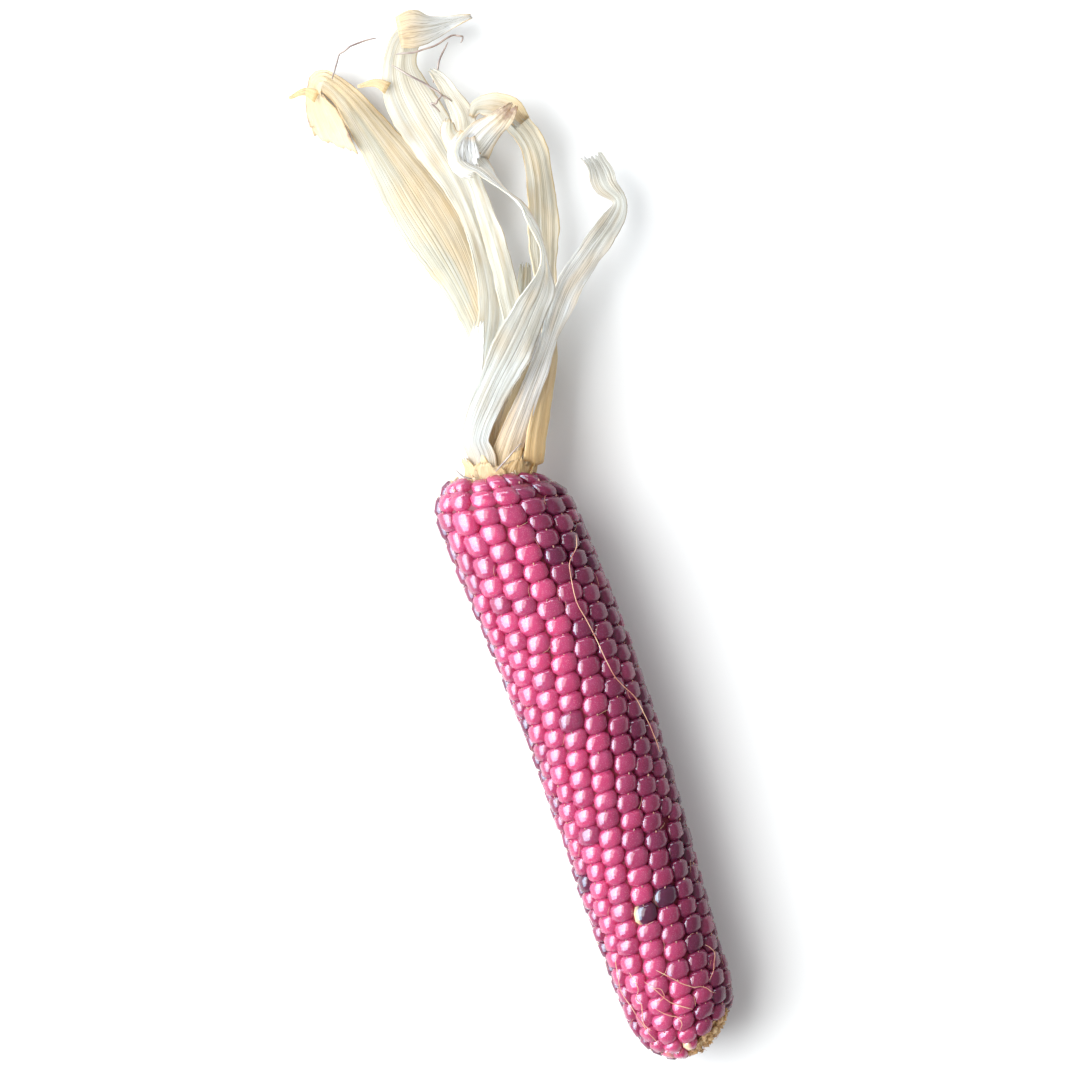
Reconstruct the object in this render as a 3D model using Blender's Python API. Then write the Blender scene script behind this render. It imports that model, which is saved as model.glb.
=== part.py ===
"""A dried red corn cob lying on a table, with its husk leaves pulled back from the butt.

Metres, +Z up. The ear lies along X with its tip at -X and its butt at +X, and it rests on z = 0 on the
flattened undersides of its lowest kernels. The origin is on that resting surface under the ear's middle.
"""

import math
import random

import bmesh
import bpy
from mathutils import Vector
from mathutils.geometry import delaunay_2d_cdt

MM = 0.001

# Ear: the kernelled length, its radius over the kernels, and how its two ends are rounded off.
EAR_LENGTH = 169 * MM
TIP_RADIUS = 15.2 * MM
RADIUS_GAIN = 3.9 * MM
TIP_ROUNDING = 18 * MM
BUTT_ROUNDING = 13 * MM
ROUNDING_POWER = 2.2
TIP_X = -84.5 * MM
BOW_CENTRE = 101.5 * MM
BOW_REACH = 90 * MM
BOW = 2.9 * MM
TIP_SLANT = 0.12
BUTT_SLANT = 0.24
SLANT_LENGTH = 34 * MM
SINK = 0.7 * MM

# Kernels: sixteen rows at the butt, of which two die out towards the tip.
ROWS = 16
PITCH_TIP = 4.75 * MM
PITCH_BUTT = 5.25 * MM
GROOVE = 2.3 * MM
SHOULDER_DROP = 0.4 * MM
SHOULDER_REACH = 0.70
FADING_ROWS = {4: 52 * MM, 11: 74 * MM}
FADE_LENGTH = 26 * MM
TWIST_PER_METRE = 13.5
STRAIGHT_BUTT = 48 * MM
ROW_PHASE = math.radians(6.0)
ODD_ROW_START = 0.02
EVEN_ROW_START = 0.52
JITTER = 0.42 * MM
BUTT_JITTER = 1.0 * MM
BUTT_JITTER_LENGTH = 26 * MM
KERNEL_SEED = 11

# Bare tip: the kernels start later on one side, where the cob and its chaff show.
RIM_FULL = 3.2 * MM
RIM_BARE = 12.5 * MM
BARE_SIDE = math.radians(-62)
BUTT_OPENING = 11.2 * MM

# Cob: its depth under the kernels' crowns at the tip and along the body, and the shank at its butt.
CLEARANCE = 0.3 * MM
COB_DEPTH_TIP = 3.7 * MM
COB_DEPTH_BODY = 8.2 * MM
COB_SIDES = 28
CHAFF_HEIGHT = 2.3 * MM
CHAFF_SEED = 5
SHANK_START = 163 * MM
SHANK_OFFSET = -1.4 * MM
SHANK_RADIUS = 6.3 * MM
SHANK_LENGTH = 9 * MM
SHANK_TURN = math.radians(-20)

# Husk leaves.
LEAF_THICKNESS = 0.65 * MM
LEAF_STEP = 5 * MM
LEAF_CELLS = 4
INNER_RING = 7.35 * MM
OUTER_RING = 8.7 * MM
ROOT_START = 3.3 * MM
ROOT_LENGTH = 4 * MM

RED_KERNEL = (0.47, 0.07, 0.17)
TAN_COB = (0.66, 0.47, 0.25)
CREAM_HUSK = (0.83, 0.74, 0.55)
TAN_HUSK = (0.78, 0.62, 0.38)
PALE_HUSK = (0.84, 0.82, 0.76)


def clear_scene():
    for thing in list(bpy.data.objects):
        bpy.data.objects.remove(thing)


def material(name, colour, roughness):
    made = bpy.data.materials.new(name)
    made.use_nodes = True
    shader = made.node_tree.nodes["Principled BSDF"]
    shader.inputs["Base Color"].default_value = (*colour, 1.0)
    shader.inputs["Roughness"].default_value = roughness
    shader.inputs["Metallic"].default_value = 0.0
    return made


def add_object(name, mesh_data, finish):
    """Closes up a bmesh as a named object, with its faces pointing out and shaded smooth."""
    bmesh.ops.recalc_face_normals(mesh_data, faces=mesh_data.faces)
    mesh = bpy.data.meshes.new(name)
    mesh_data.to_mesh(mesh)
    mesh_data.free()
    mesh.shade_smooth()
    mesh.materials.append(finish)
    made = bpy.data.objects.new(name, mesh)
    bpy.context.scene.collection.objects.link(made)
    return made


def smoothstep(value):
    value = min(1.0, max(0.0, value))
    return value * value * (3 - 2 * value)


def mix(low, high, share):
    return low + (high - low) * share


# The ear's own surface


def body_radius(s):
    """Radius over the kernels at a distance s from the tip, before the ends are rounded."""
    return TIP_RADIUS + RADIUS_GAIN * math.sin(math.pi / 2 * min(1.0, max(0.0, s / EAR_LENGTH)))


def rounding(distance, length):
    """How much of the radius is left this far inside an end that is rounded over that length."""
    inside = max(0.0, 1 - max(0.0, distance) / length)
    return math.sqrt(max(0.0, 1 - inside**ROUNDING_POWER))


def crown_radius(s):
    return body_radius(s) * rounding(s, TIP_ROUNDING) * rounding(EAR_LENGTH - s, BUTT_ROUNDING)


def point_round_axis(s, radius, phi):
    """A point at a distance s from the tip, at a radius and at an angle from the top towards +Y."""
    bow = BOW * smoothstep(abs(s - BOW_CENTRE) / BOW_REACH)
    side = radius * math.sin(phi)
    butt = BUTT_SLANT * smoothstep(1 - (EAR_LENGTH - s) / SLANT_LENGTH)
    tip = TIP_SLANT * smoothstep(1 - s / SLANT_LENGTH)
    x = TIP_X + s + side * (butt - tip)
    return Vector((x, bow + side, body_radius(s) - SINK + radius * math.cos(phi)))


def make_profile():
    """The crown line from the tip's pole to the butt's opening, as (u, s, radius) with u the length along it."""
    steps = 600
    line = []
    u = 0.0
    for i in range(steps + 1):
        s = EAR_LENGTH * (1 - math.cos(math.pi * i / steps)) / 2
        radius = crown_radius(s)
        if line:
            u += math.hypot(s - line[-1][1], radius - line[-1][2])
        line.append((u, s, radius))
        if s > EAR_LENGTH / 2 and radius < BUTT_OPENING:
            break
    return line


PROFILE = make_profile()
PROFILE_LENGTH = PROFILE[-1][0]


def on_profile(u):
    """(s, radius, outward normal along s, outward normal along the radius) at length u along the crown line."""
    u = min(PROFILE_LENGTH - 1e-7, max(1e-7, u))
    low, high = 0, len(PROFILE) - 1
    while high - low > 1:
        middle = (low + high) // 2
        if PROFILE[middle][0] <= u:
            low = middle
        else:
            high = middle
    u0, s0, r0 = PROFILE[low]
    u1, s1, r1 = PROFILE[high]
    share = (u - u0) / (u1 - u0)
    along = Vector((s1 - s0, r1 - r0)).normalized()
    return mix(s0, s1, share), mix(r0, r1, share), -along.y, along.x


def ear_point(u, phi, height):
    """A point over the crown line by a height, which is negative inside the ear."""
    s, radius, normal_s, normal_r = on_profile(u)
    return point_round_axis(s + height * normal_s, radius + height * normal_r, phi)


def rim_length(phi):
    """Where the kernels start at the tip: early all round but on the bare side."""
    facing = (1 + math.cos(phi - BARE_SIDE)) / 2
    return RIM_FULL + RIM_BARE * facing**3


# Kernels


def row_share(row, u):
    """How much room a row still has this far from the tip, from 0 to 1."""
    if row not in FADING_ROWS:
        return 1.0
    return smoothstep((u - FADING_ROWS[row]) / FADE_LENGTH + 0.5)


def row_angle(row, u):
    shares = [row_share(other, u) for other in range(ROWS)]
    before = sum(shares[:row]) + shares[row] / 2
    turn = TWIST_PER_METRE * max(0.0, PROFILE_LENGTH - STRAIGHT_BUTT - u)
    return ROW_PHASE + turn + 2 * math.pi * before / sum(shares)


def kernel_sites():
    """Centre of every kernel as (u, phi), row by row, each row half a kernel off its neighbours."""
    draw = random.Random(KERNEL_SEED)
    sites = []
    for row in range(ROWS):
        u = RIM_FULL + PITCH_TIP * (ODD_ROW_START if row % 2 else EVEN_ROW_START)
        while u < PROFILE_LENGTH - 0.35 * PITCH_BUTT:
            pitch = mix(PITCH_TIP, PITCH_BUTT, u / PROFILE_LENGTH)
            phi = row_angle(row, u)
            if u > rim_length(phi) + 0.35 * pitch and row_share(row, u) > 0.5:
                near_butt = smoothstep(1 - (PROFILE_LENGTH - u) / BUTT_JITTER_LENGTH)
                spread = mix(JITTER, BUTT_JITTER, near_butt)
                radius = max(crown_radius(on_profile(u)[0]), TIP_RADIUS / 2)
                sites.append((u + draw.uniform(-spread, spread), phi + draw.uniform(-spread, spread) / radius))
            u += pitch
    return sites


def ghost_sites():
    """Centres past both ends of the rows, which close the outer kernels' cells and carry no kernel."""
    ghosts = []
    for i in range(ROWS):
        phi = 2 * math.pi * i / ROWS
        ghosts.append((rim_length(phi) - 0.45 * PITCH_TIP, phi))
        ghosts.append((PROFILE_LENGTH + 0.45 * PITCH_BUTT, phi))
    return ghosts


def kernel_cells(sites, ghosts):
    """For each kernel, the corners (u, phi) of its cell in order, shared exactly with its neighbours.

    A corner is the centre of three neighbouring kernels, found by triangulating the unrolled ear.
    """
    width = TIP_RADIUS + RADIUS_GAIN
    centres = [(u, phi % (2 * math.pi)) for u, phi in sites + ghosts]
    copies = []
    flat = []
    for index, (u, phi) in enumerate(centres):
        for turn in (-1, 0, 1):
            copies.append((index, turn))
            flat.append(Vector((u, (phi + turn * 2 * math.pi) * width)))
    faces = delaunay_2d_cdt(flat, [], [], 0, 1e-7)[2]
    around = {index: [] for index in range(len(sites))}
    for face in faces:
        owners = frozenset(copies[corner][0] for corner in face)
        corner_point = sum((flat[corner] for corner in face), Vector((0, 0))) / 3
        for corner in face:
            index, turn = copies[corner]
            if turn == 0 and index in around:
                away = corner_point - flat[corner]
                around[index].append((math.atan2(away.y, away.x), owners, corner_point))
    return [
        [(owners, point.x, point.y / width) for _, owners, point in sorted(around[i], key=lambda c: c[0])]
        for i in range(len(sites))
    ]


def rest_flat(point):
    """Nothing reaches below the surface that the ear lies on: the lowest kernels are flattened there."""
    return Vector((point.x, point.y, max(0.0, point.z)))


def add_ring(mesh, sides, place):
    return [mesh.verts.new(place(2 * math.pi * i / sides)) for i in range(sides)]


def join_rings(mesh, first, second):
    """Two triangles for each side between two rings with the same number of points."""
    count = len(first)
    for i in range(count):
        j = (i + 1) % count
        mesh.faces.new((first[i], first[j], second[j]))
        mesh.faces.new((first[i], second[j], second[i]))


def edges_of_ring(mesh, ring):
    return [mesh.edges.get((ring[i], ring[(i + 1) % len(ring)])) for i in range(len(ring))]


def core_rings(clearance):
    """The cob's wall from the kernels' rim at the tip to the butt, as functions of phi, grown by a clearance."""
    depth_tip = COB_DEPTH_TIP - clearance
    depth_body = COB_DEPTH_BODY - clearance
    blend_end = 26 * MM
    rings = []
    for share in (0.0, 0.25, 0.6, 1.0):

        def place(phi, share=share):
            u = mix(rim_length(phi), blend_end, share)
            return ear_point(u, phi, -mix(depth_tip, depth_body, share))

        rings.append(place)
    for s, radius in ((62, 9.6), (112, 10.4), (148, 10.6), (158, 9.6), (163, 8.4)):
        rings.append(lambda phi, s=s, radius=radius: point_round_axis(s * MM, radius * MM + clearance, phi))
    return rings


def add_kernels(finish):
    """All the kernels in one sleeve round the cob: each rises from its cell's low corners over a shoulder."""
    sites = kernel_sites()
    cells = kernel_cells(sites, ghost_sites())
    mesh = bmesh.new()
    corners = {}
    for (u, phi), cell in zip(sites, cells):
        low = []
        for owners, corner_u, corner_phi in cell:
            if owners not in corners:
                corners[owners] = mesh.verts.new(rest_flat(ear_point(corner_u, corner_phi, -GROOVE)))
            low.append(corners[owners])
        centre_phi = phi % (2 * math.pi)
        shoulder = [
            mesh.verts.new(
                rest_flat(
                    ear_point(
                        mix(u, corner_u, SHOULDER_REACH),
                        mix(centre_phi, corner_phi, SHOULDER_REACH),
                        -SHOULDER_DROP,
                    )
                )
            )
            for _, corner_u, corner_phi in cell
        ]
        crown = mesh.verts.new(rest_flat(ear_point(u, centre_phi, 0.0)))
        join_rings(mesh, low, shoulder)
        for i, point in enumerate(shoulder):
            mesh.faces.new((point, shoulder[(i + 1) % len(shoulder)], crown))
    open_edges = [edge for edge in mesh.edges if edge.is_boundary]
    middle = TIP_X + EAR_LENGTH / 2
    tip_edges = [edge for edge in open_edges if edge.verts[0].co.x < middle]
    butt_edges = [edge for edge in open_edges if edge.verts[0].co.x > middle]
    bore = [add_ring(mesh, COB_SIDES, place) for place in core_rings(CLEARANCE)]
    for first, second in zip(bore, bore[1:]):
        join_rings(mesh, first, second)
    bmesh.ops.bridge_loops(mesh, edges=tip_edges + edges_of_ring(mesh, bore[0]))
    bmesh.ops.bridge_loops(mesh, edges=butt_edges + edges_of_ring(mesh, bore[-1]))
    bmesh.ops.triangulate(mesh, faces=mesh.faces)
    return add_object("kernels", mesh, finish)


# Cob


def shank_frame(distance):
    """(point, direction) on the shank's centre line, which turns aside as it leaves the butt."""
    start = point_round_axis(SHANK_START, 0.0, 0.0) + Vector((0.0, SHANK_OFFSET, 0.0))
    turned = SHANK_TURN * smoothstep(0.5 + distance / (8 * MM))
    direction = Vector((math.cos(turned), math.sin(turned), 0.0))
    lean = Vector((math.cos(SHANK_TURN), math.sin(SHANK_TURN), 0.0))
    return start + lean * distance, direction


def add_cob(finish):
    """The woody core: a chaffy tip, the body inside the kernels, and the shank at the butt."""
    draw = random.Random(CHAFF_SEED)
    mesh = bmesh.new()
    pole = mesh.verts.new(ear_point(0.0, 0.0, -COB_DEPTH_TIP + 0.6 * CHAFF_HEIGHT))
    rings = []
    for number, (share, full_height) in enumerate(((0.2, 1.0), (0.36, 0.9), (0.52, 0.8), (0.68, 0.5))):

        def chaffy(phi, number=number, share=share, full_height=full_height):
            side = round(phi / (2 * math.pi) * COB_SIDES)
            raised = CHAFF_HEIGHT * full_height * (0.8 if (side + number) % 2 else 0.05)
            height = -COB_DEPTH_TIP + raised * draw.uniform(0.6, 1.1)
            return ear_point(share * rim_length(phi), phi, height)

        rings.append(add_ring(mesh, COB_SIDES, chaffy))
    for place in core_rings(0.0):
        rings.append(add_ring(mesh, COB_SIDES, place))
    for distance, radius in ((1.6 * MM, 7.2 * MM), (3.0 * MM, SHANK_RADIUS), (SHANK_LENGTH, SHANK_RADIUS)):
        centre, direction = shank_frame(distance)
        side = Vector((-direction.y, direction.x, 0.0))
        rings.append(
            add_ring(
                mesh,
                COB_SIDES,
                lambda phi: centre + radius * (side * math.sin(phi) + Vector((0, 0, 1)) * math.cos(phi)),
            )
        )
    for first, second in zip(rings, rings[1:]):
        join_rings(mesh, first, second)
    for i in range(COB_SIDES):
        mesh.faces.new((pole, rings[0][i], rings[0][(i + 1) % COB_SIDES]))
    centre, direction = shank_frame(SHANK_LENGTH)
    end = mesh.verts.new(centre - direction * 1.2 * MM)
    for i in range(COB_SIDES):
        mesh.faces.new((end, rings[-1][(i + 1) % COB_SIDES], rings[-1][i]))
    return add_object("cob", mesh, finish)


# Husk leaves


def smooth_rows(rows, steps):
    """Rows of numbers read off a smooth curve through the given rows, evenly by length in x, y, z."""
    rows = [list(row) for row in rows]
    at = [0.0]
    for row, after in zip(rows, rows[1:]):
        at.append(at[-1] + max(1e-6, math.dist(row[:3], after[:3])))
    slopes = []
    for i in range(len(rows)):
        before, after = max(0, i - 1), min(len(rows) - 1, i + 1)
        slopes.append([(b - a) / (at[after] - at[before]) for a, b in zip(rows[before], rows[after])])
    made = []
    part = 0
    for step in range(steps + 1):
        length = at[-1] * step / steps
        while part < len(rows) - 2 and length > at[part + 1]:
            part += 1
        span = at[part + 1] - at[part]
        t = (length - at[part]) / span
        weights = (2 * t**3 - 3 * t**2 + 1, t**3 - 2 * t**2 + t, 3 * t**2 - 2 * t**3, t**3 - t**2)
        made.append(
            [
                weights[0] * a + weights[1] * span * m + weights[2] * b + weights[3] * span * n
                for a, m, b, n in zip(rows[part], slopes[part], rows[part + 1], slopes[part + 1])
            ]
        )
    return made


def carried_normals(points):
    """Unit tangents, and normals that start upright and are carried along with no twist of their own."""
    tangents = []
    for i in range(len(points)):
        before, after = max(0, i - 1), min(len(points) - 1, i + 1)
        tangents.append((points[after] - points[before]).normalized())
    normal = Vector((0, 0, 1))
    normal = (normal - tangents[0] * normal.dot(tangents[0])).normalized()
    normals = [normal]
    for first, second in zip(tangents, tangents[1:]):
        normal = first.rotation_difference(second) @ normal
        normal = (normal - second * normal.dot(second)).normalized()
        normals.append(normal)
    return tangents, normals


def root_stations(ring_radius, clock, width):
    """A leaf's first two stations, wrapped on the shank at a clock angle from the top towards +Y."""
    stations = []
    for distance in (ROOT_START, ROOT_START + ROOT_LENGTH):
        centre, direction = shank_frame(distance)
        side = Vector((-direction.y, direction.x, 0.0))
        out = side * math.sin(math.radians(clock)) + Vector((0, 0, 1)) * math.cos(math.radians(clock))
        place = centre + out * ring_radius
        wrapped = math.degrees(width * MM / ring_radius)
        stations.append((*(place / MM), width, clock, wrapped))
    return stations


def leaf_surface(stations, cells, ruffle, phase):
    """Grid of (point, normal) over a ribbon through stations of (x, y, z, width, roll, cup) in mm and degrees."""
    stretch = sum(math.dist(a[:3], b[:3]) for a, b in zip(stations, stations[1:])) * MM
    steps = round(stretch / LEAF_STEP)
    rows = smooth_rows(stations, steps)
    points = [Vector(row[:3]) * MM for row in rows]
    tangents, normals = carried_normals(points)
    grid = []
    length = sum((b - a).length for a, b in zip(points, points[1:]))
    for step, row in enumerate(rows):
        width, roll, cup = max(0.8, row[3]) * MM, math.radians(row[4]), math.radians(row[5])
        tangent, carried = tangents[step], normals[step]
        normal = carried * math.cos(roll) + carried.cross(tangent) * math.sin(roll)
        across = normal.cross(tangent)
        along = step / steps
        free = smoothstep((along - 0.15) / 0.25)
        line = []
        for cell in range(cells + 1):
            a = 2 * cell / cells - 1
            turn = a * cup / 2
            if abs(cup) > 1e-3:
                sideways = width / cup * math.sin(turn)
                down = width / cup * (1 - math.cos(turn))
            else:
                sideways, down = width / 2 * a, 0.0
            wave = ruffle * MM * free * a * abs(a) * math.sin(2 * math.pi * along * length / (21 * MM) + phase + a)
            outward = (normal * math.cos(turn) + across * math.sin(turn)).normalized()
            line.append((points[step] + across * sideways - normal * (down - wave), outward))
        grid.append(line)
    return grid


def add_leaf(name, finish, stations, ruffle=0.7, phase=0.0):
    """One husk leaf: a thin blade with the same triangles on both faces."""
    grid = leaf_surface(stations, LEAF_CELLS, ruffle, phase)
    steps = len(grid) - 1
    mesh = bmesh.new()
    faces = []
    for offset in (LEAF_THICKNESS / 2, -LEAF_THICKNESS / 2):
        faces.append([[mesh.verts.new(point + normal * offset) for point, normal in line] for line in grid])
    upper, lower = faces
    for step in range(steps):
        for cell in range(LEAF_CELLS):
            for side in (upper, lower):
                a, b = side[step][cell], side[step][cell + 1]
                c, d = side[step + 1][cell + 1], side[step + 1][cell]
                mesh.faces.new((a, b, c))
                mesh.faces.new((a, c, d))
    for side_cell in (0, LEAF_CELLS):
        for step in range(steps):
            a, b = upper[step][side_cell], upper[step + 1][side_cell]
            c, d = lower[step + 1][side_cell], lower[step][side_cell]
            mesh.faces.new((a, b, c))
            mesh.faces.new((a, c, d))
    for step in (0, steps):
        for cell in range(LEAF_CELLS):
            a, b = upper[step][cell], upper[step][cell + 1]
            c, d = lower[step][cell + 1], lower[step][cell]
            mesh.faces.new((a, b, c))
            mesh.faces.new((a, c, d))
    return add_object(name, mesh, finish)


def add_husk(cream, tan, pale):
    """The eight dried leaves. A station is x, y, z and width in mm, then roll and cup in degrees."""
    add_leaf(
        "husk_leaf_front",
        pale,
        root_stations(OUTER_RING, 40, 10)
        + [
            (93, 3, 26, 8.5, 32, 35),
            (102, -4.5, 28.5, 9, 20, 25),
            (112, -15, 30, 10.5, 5, 20),
            (119, -22, 30, 9.5, -10, 15),
            (126, -28.5, 28.5, 8, -35, 15),
            (135, -31.8, 26, 6.5, -60, 15),
            (147, -30, 22.5, 6.5, -55, 10),
            (161, -24.5, 19, 6, -35, 20),
            (166, -22, 18, 9, -15, 60),
            (168, -27, 19, 9, 0, 70),
            (173.5, -37, 21.5, 2, 0, 30),
        ],
        0.5,
    )
    add_leaf(
        "husk_leaf_outer",
        pale,
        root_stations(INNER_RING, -12, 8.5)
        + [
            (98, -14, 26, 6, -8, 25),
            (108, -22.5, 25, 5, -20, 20),
            (122, -34, 21, 7, -15, 15),
            (130, -44, 17, 7, -5, 15),
            (137, -53.5, 13, 6, 15, 15),
            (141, -56, 11.5, 4, 35, 20),
            (146, -54, 12, 6.5, 10, 30),
            (151, -54, 11, 7, -20, 25),
            (155.5, -53.2, 9.8, 6.5, -10, 20),
        ],
        0.6,
        1.3,
    )
    add_leaf(
        "husk_leaf_right",
        tan,
        root_stations(OUTER_RING, -76, 9.5)
        + [
            (94, -16.5, 18.5, 7.5, -72, 40),
            (104, -20.5, 17, 6.5, -68, 35),
            (113, -25, 16, 4.5, -60, 30),
            (124, -28.5, 15, 6, -30, 20),
            (139, -33.5, 13.5, 8.5, -15, 15),
            (152, -37.5, 12.5, 8, -20, 20),
            (163, -39, 12, 7, -10, 20),
            (171, -36.5, 12.5, 6.5, 15, 30),
            (176.5, -31, 12, 4, 20, 30),
        ],
        0.5,
        2.2,
    )
    add_leaf(
        "husk_leaf_narrow",
        cream,
        root_stations(INNER_RING, -96, 8)
        + [
            (103, -13, 18.5, 5.5, -55, 30),
            (117, -17.5, 18.5, 5.5, -15, 40),
            (136, -20, 16.5, 6, 5, 50),
            (154, -20.8, 14, 4.5, 10, 50),
            (163, -21, 13, 4.5, 5, 40),
            (170, -22.5, 12.5, 7, -5, 30),
            (177, -24, 12.5, 6.5, -10, 30),
            (183, -23, 12.5, 4.5, -5, 30),
            (188, -21.8, 13, 3.5, 0, 20),
            (192, -19.8, 13.5, 1.2, 0, 10),
        ],
        0.3,
        0.4,
    )
    add_leaf(
        "husk_leaf_long",
        cream,
        root_stations(OUTER_RING, 117, 9)
        + [
            (102, 0, 11, 8, 92, 25),
            (114, -8.5, 11, 8.5, 25, 20),
            (126, -14.5, 10.5, 8.5, 0, 15),
            (140, -17, 9.5, 7.5, -5, 15),
            (152, -17.3, 9, 7.5, 5, 15),
            (162, -16.5, 9.2, 9.5, 8, 20),
            (172, -14.8, 9.2, 13, 3, 20),
            (182, -12.8, 9.6, 14, 0, 15),
            (190, -11.8, 9.6, 12.5, -5, 15),
            (197, -13, 10, 9, -20, 25),
            (202, -17, 9.8, 8, -20, 35),
            (203.8, -22.5, 8.5, 7.5, 5, 20),
            (203, -29, 7.5, 4.5, 15, 10),
            (202, -35.5, 6.5, 1, 20, 5),
        ],
        0.6,
        0.9,
    )
    add_leaf(
        "husk_leaf_left",
        tan,
        root_stations(OUTER_RING, 184, 9.5)
        + [
            (105, -6.5, 7, 8, 178, -15),
            (119, -9, 5.8, 8.5, 178, -20),
            (134, -9, 5.8, 12.5, 180, -15),
            (147, -7.4, 5.8, 17, 180, -12),
            (159, -4.9, 5.2, 17.8, 183, -12),
            (171, -2.1, 5.3, 14.5, 185, -15),
            (183, 1.1, 6.6, 10.5, 184, -20),
            (193, 4.3, 8.8, 7.5, 180, -25),
            (199.8, 7.8, 8.8, 6, 172, -20),
            (198.8, 12.6, 5.4, 8, 190, 0),
            (190, 13.6, 3.7, 12, 218, 12),
            (180.5, 12.8, 3.4, 9.5, 222, 8),
        ],
        0.5,
        1.7,
    )
    add_leaf(
        "husk_leaf_short",
        pale,
        root_stations(INNER_RING, 54, 8)
        + [
            (99, 2, 22.5, 6.5, 42, 30),
            (107, -1, 21, 6.5, 30, 25),
            (116, -5.5, 18.5, 5, 15, 25),
            (123, -9.5, 16.5, 2, 5, 20),
        ],
        0.4,
        2.6,
    )
    add_leaf(
        "husk_leaf_under",
        tan,
        root_stations(INNER_RING, 180, 8.5)
        + [
            (104, -11, 12, 7.5, 190, -10),
            (114, -17.5, 12, 6.5, 195, -20),
            (125, -22.5, 11.5, 5, 190, -20),
            (134, -26.5, 10.5, 2.5, 185, -20),
        ],
        0.4,
        0.2,
    )


def main():
    clear_scene()
    add_kernels(material("kernel_red", RED_KERNEL, 0.25))
    add_cob(material("cob_tan", TAN_COB, 0.85))
    add_husk(
        material("husk_cream", CREAM_HUSK, 0.7),
        material("husk_tan", TAN_HUSK, 0.7),
        material("husk_pale", PALE_HUSK, 0.7),
    )


main()
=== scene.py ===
# %% [markdown]
# # A dried ear of red corn
# The ear lies on its side, with glossy kernels in rows round a woody cob and papery husk leaves pulled back
# from its butt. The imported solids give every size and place. This lesson dresses them piece by piece: kernels,
# silk, cob, chaff, husk, then light and camera.

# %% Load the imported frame
import math
import random

import bpy
import numpy as np
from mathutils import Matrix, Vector, noise


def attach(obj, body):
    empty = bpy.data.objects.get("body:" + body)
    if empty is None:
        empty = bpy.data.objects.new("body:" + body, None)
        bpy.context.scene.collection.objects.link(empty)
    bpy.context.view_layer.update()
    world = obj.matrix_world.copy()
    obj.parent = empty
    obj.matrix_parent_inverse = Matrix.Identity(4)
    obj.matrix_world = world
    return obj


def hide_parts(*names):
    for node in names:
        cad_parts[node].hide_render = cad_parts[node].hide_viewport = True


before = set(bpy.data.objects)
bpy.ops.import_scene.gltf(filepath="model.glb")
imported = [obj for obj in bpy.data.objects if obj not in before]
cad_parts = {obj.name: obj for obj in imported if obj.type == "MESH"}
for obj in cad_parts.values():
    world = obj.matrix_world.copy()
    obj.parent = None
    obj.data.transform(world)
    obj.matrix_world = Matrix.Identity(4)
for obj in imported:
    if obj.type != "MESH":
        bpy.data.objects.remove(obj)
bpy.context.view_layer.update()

MM = 0.001
print("solids:", sorted(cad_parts))

# %% [markdown]
# ## Working habits
# Loading leaves the solids selected, and an operator acts on all that is selected, so each new piece starts
# from an empty selection. A finished piece keeps its place in its mesh, with its object left at the origin.

# %% Helpers for starting and finishing a piece
def select_nothing():
    bpy.ops.object.select_all(action="DESELECT")


def select_only(things):
    select_nothing()
    for thing in things:
        thing.select_set(True)
    bpy.context.view_layer.objects.active = things[0]


def points_of(piece):
    flat = np.empty(len(piece.data.vertices) * 3)
    piece.data.vertices.foreach_get("co", flat)
    return flat.reshape(-1, 3)


def set_points(piece, points):
    piece.data.vertices.foreach_set("co", np.asarray(points, dtype=float).ravel())
    piece.data.update()


def copy_of(piece, points):
    """A copy with a mesh of its own, whose points are given."""
    made = piece.copy()
    made.data = piece.data.copy()
    bpy.context.scene.collection.objects.link(made)
    set_points(made, points)
    return made


def paint(piece, name, values):
    """Stores one colour per point, which the piece's material reads by this name."""
    layer = piece.data.attributes.new(name, "FLOAT_COLOR", "POINT")
    layer.data.foreach_set("color", np.asarray(values, dtype=float).ravel())


def join_all(pieces, name):
    select_only(pieces)
    bpy.ops.object.join()
    made = bpy.context.object
    made.name = name
    made.data.name = name
    return made


def apply_modifiers(piece):
    select_only([piece])
    for modifier in list(piece.modifiers):
        bpy.ops.object.modifier_apply(modifier=modifier.name)


def dress(piece, material, slot, *nodes):
    """Gives a finished piece its material and smooth shading, hangs it under the root, and hides the solids it stands
    for.
    """
    piece.data.materials.clear()
    piece.data.materials.append(material)
    piece.data.shade_smooth()
    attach(piece, "root")
    if nodes:
        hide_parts(*nodes)
    print(piece.name, len(piece.data.polygons), "faces")


# %% [markdown]
# ## The ear's form
# An ear is a slender, slightly bowed body that is blunt at its tip and rounder still at its butt. Both ends are
# cut a little aslant. These are the same measures as the solids have, kept as one crown line that is swept
# round a bowed axis, so a place on the ear is a length along that line and an angle round it.

# %% Measures of the ear
EAR_LENGTH = 169 * MM
TIP_RADIUS = 15.2 * MM
RADIUS_GAIN = 3.9 * MM
TIP_ROUNDING = 18 * MM
BUTT_ROUNDING = 13 * MM
ROUNDING_POWER = 2.2
TIP_X = -84.5 * MM
BOW_CENTRE = 101.5 * MM
BOW_REACH = 90 * MM
BOW = 2.9 * MM
TIP_SLANT = 0.12
BUTT_SLANT = 0.24
SLANT_LENGTH = 34 * MM
SINK = 0.7 * MM
BUTT_OPENING = 11.2 * MM


def smoothstep(value):
    value = np.clip(value, 0.0, 1.0)
    return value * value * (3 - 2 * value)


def body_radius(s):
    return TIP_RADIUS + RADIUS_GAIN * np.sin(math.pi / 2 * np.clip(s / EAR_LENGTH, 0.0, 1.0))


def rounding(distance, length):
    inside = np.clip(1 - distance / length, 0.0, 1.0)
    return np.sqrt(np.clip(1 - inside**ROUNDING_POWER, 0.0, 1.0))


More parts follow.
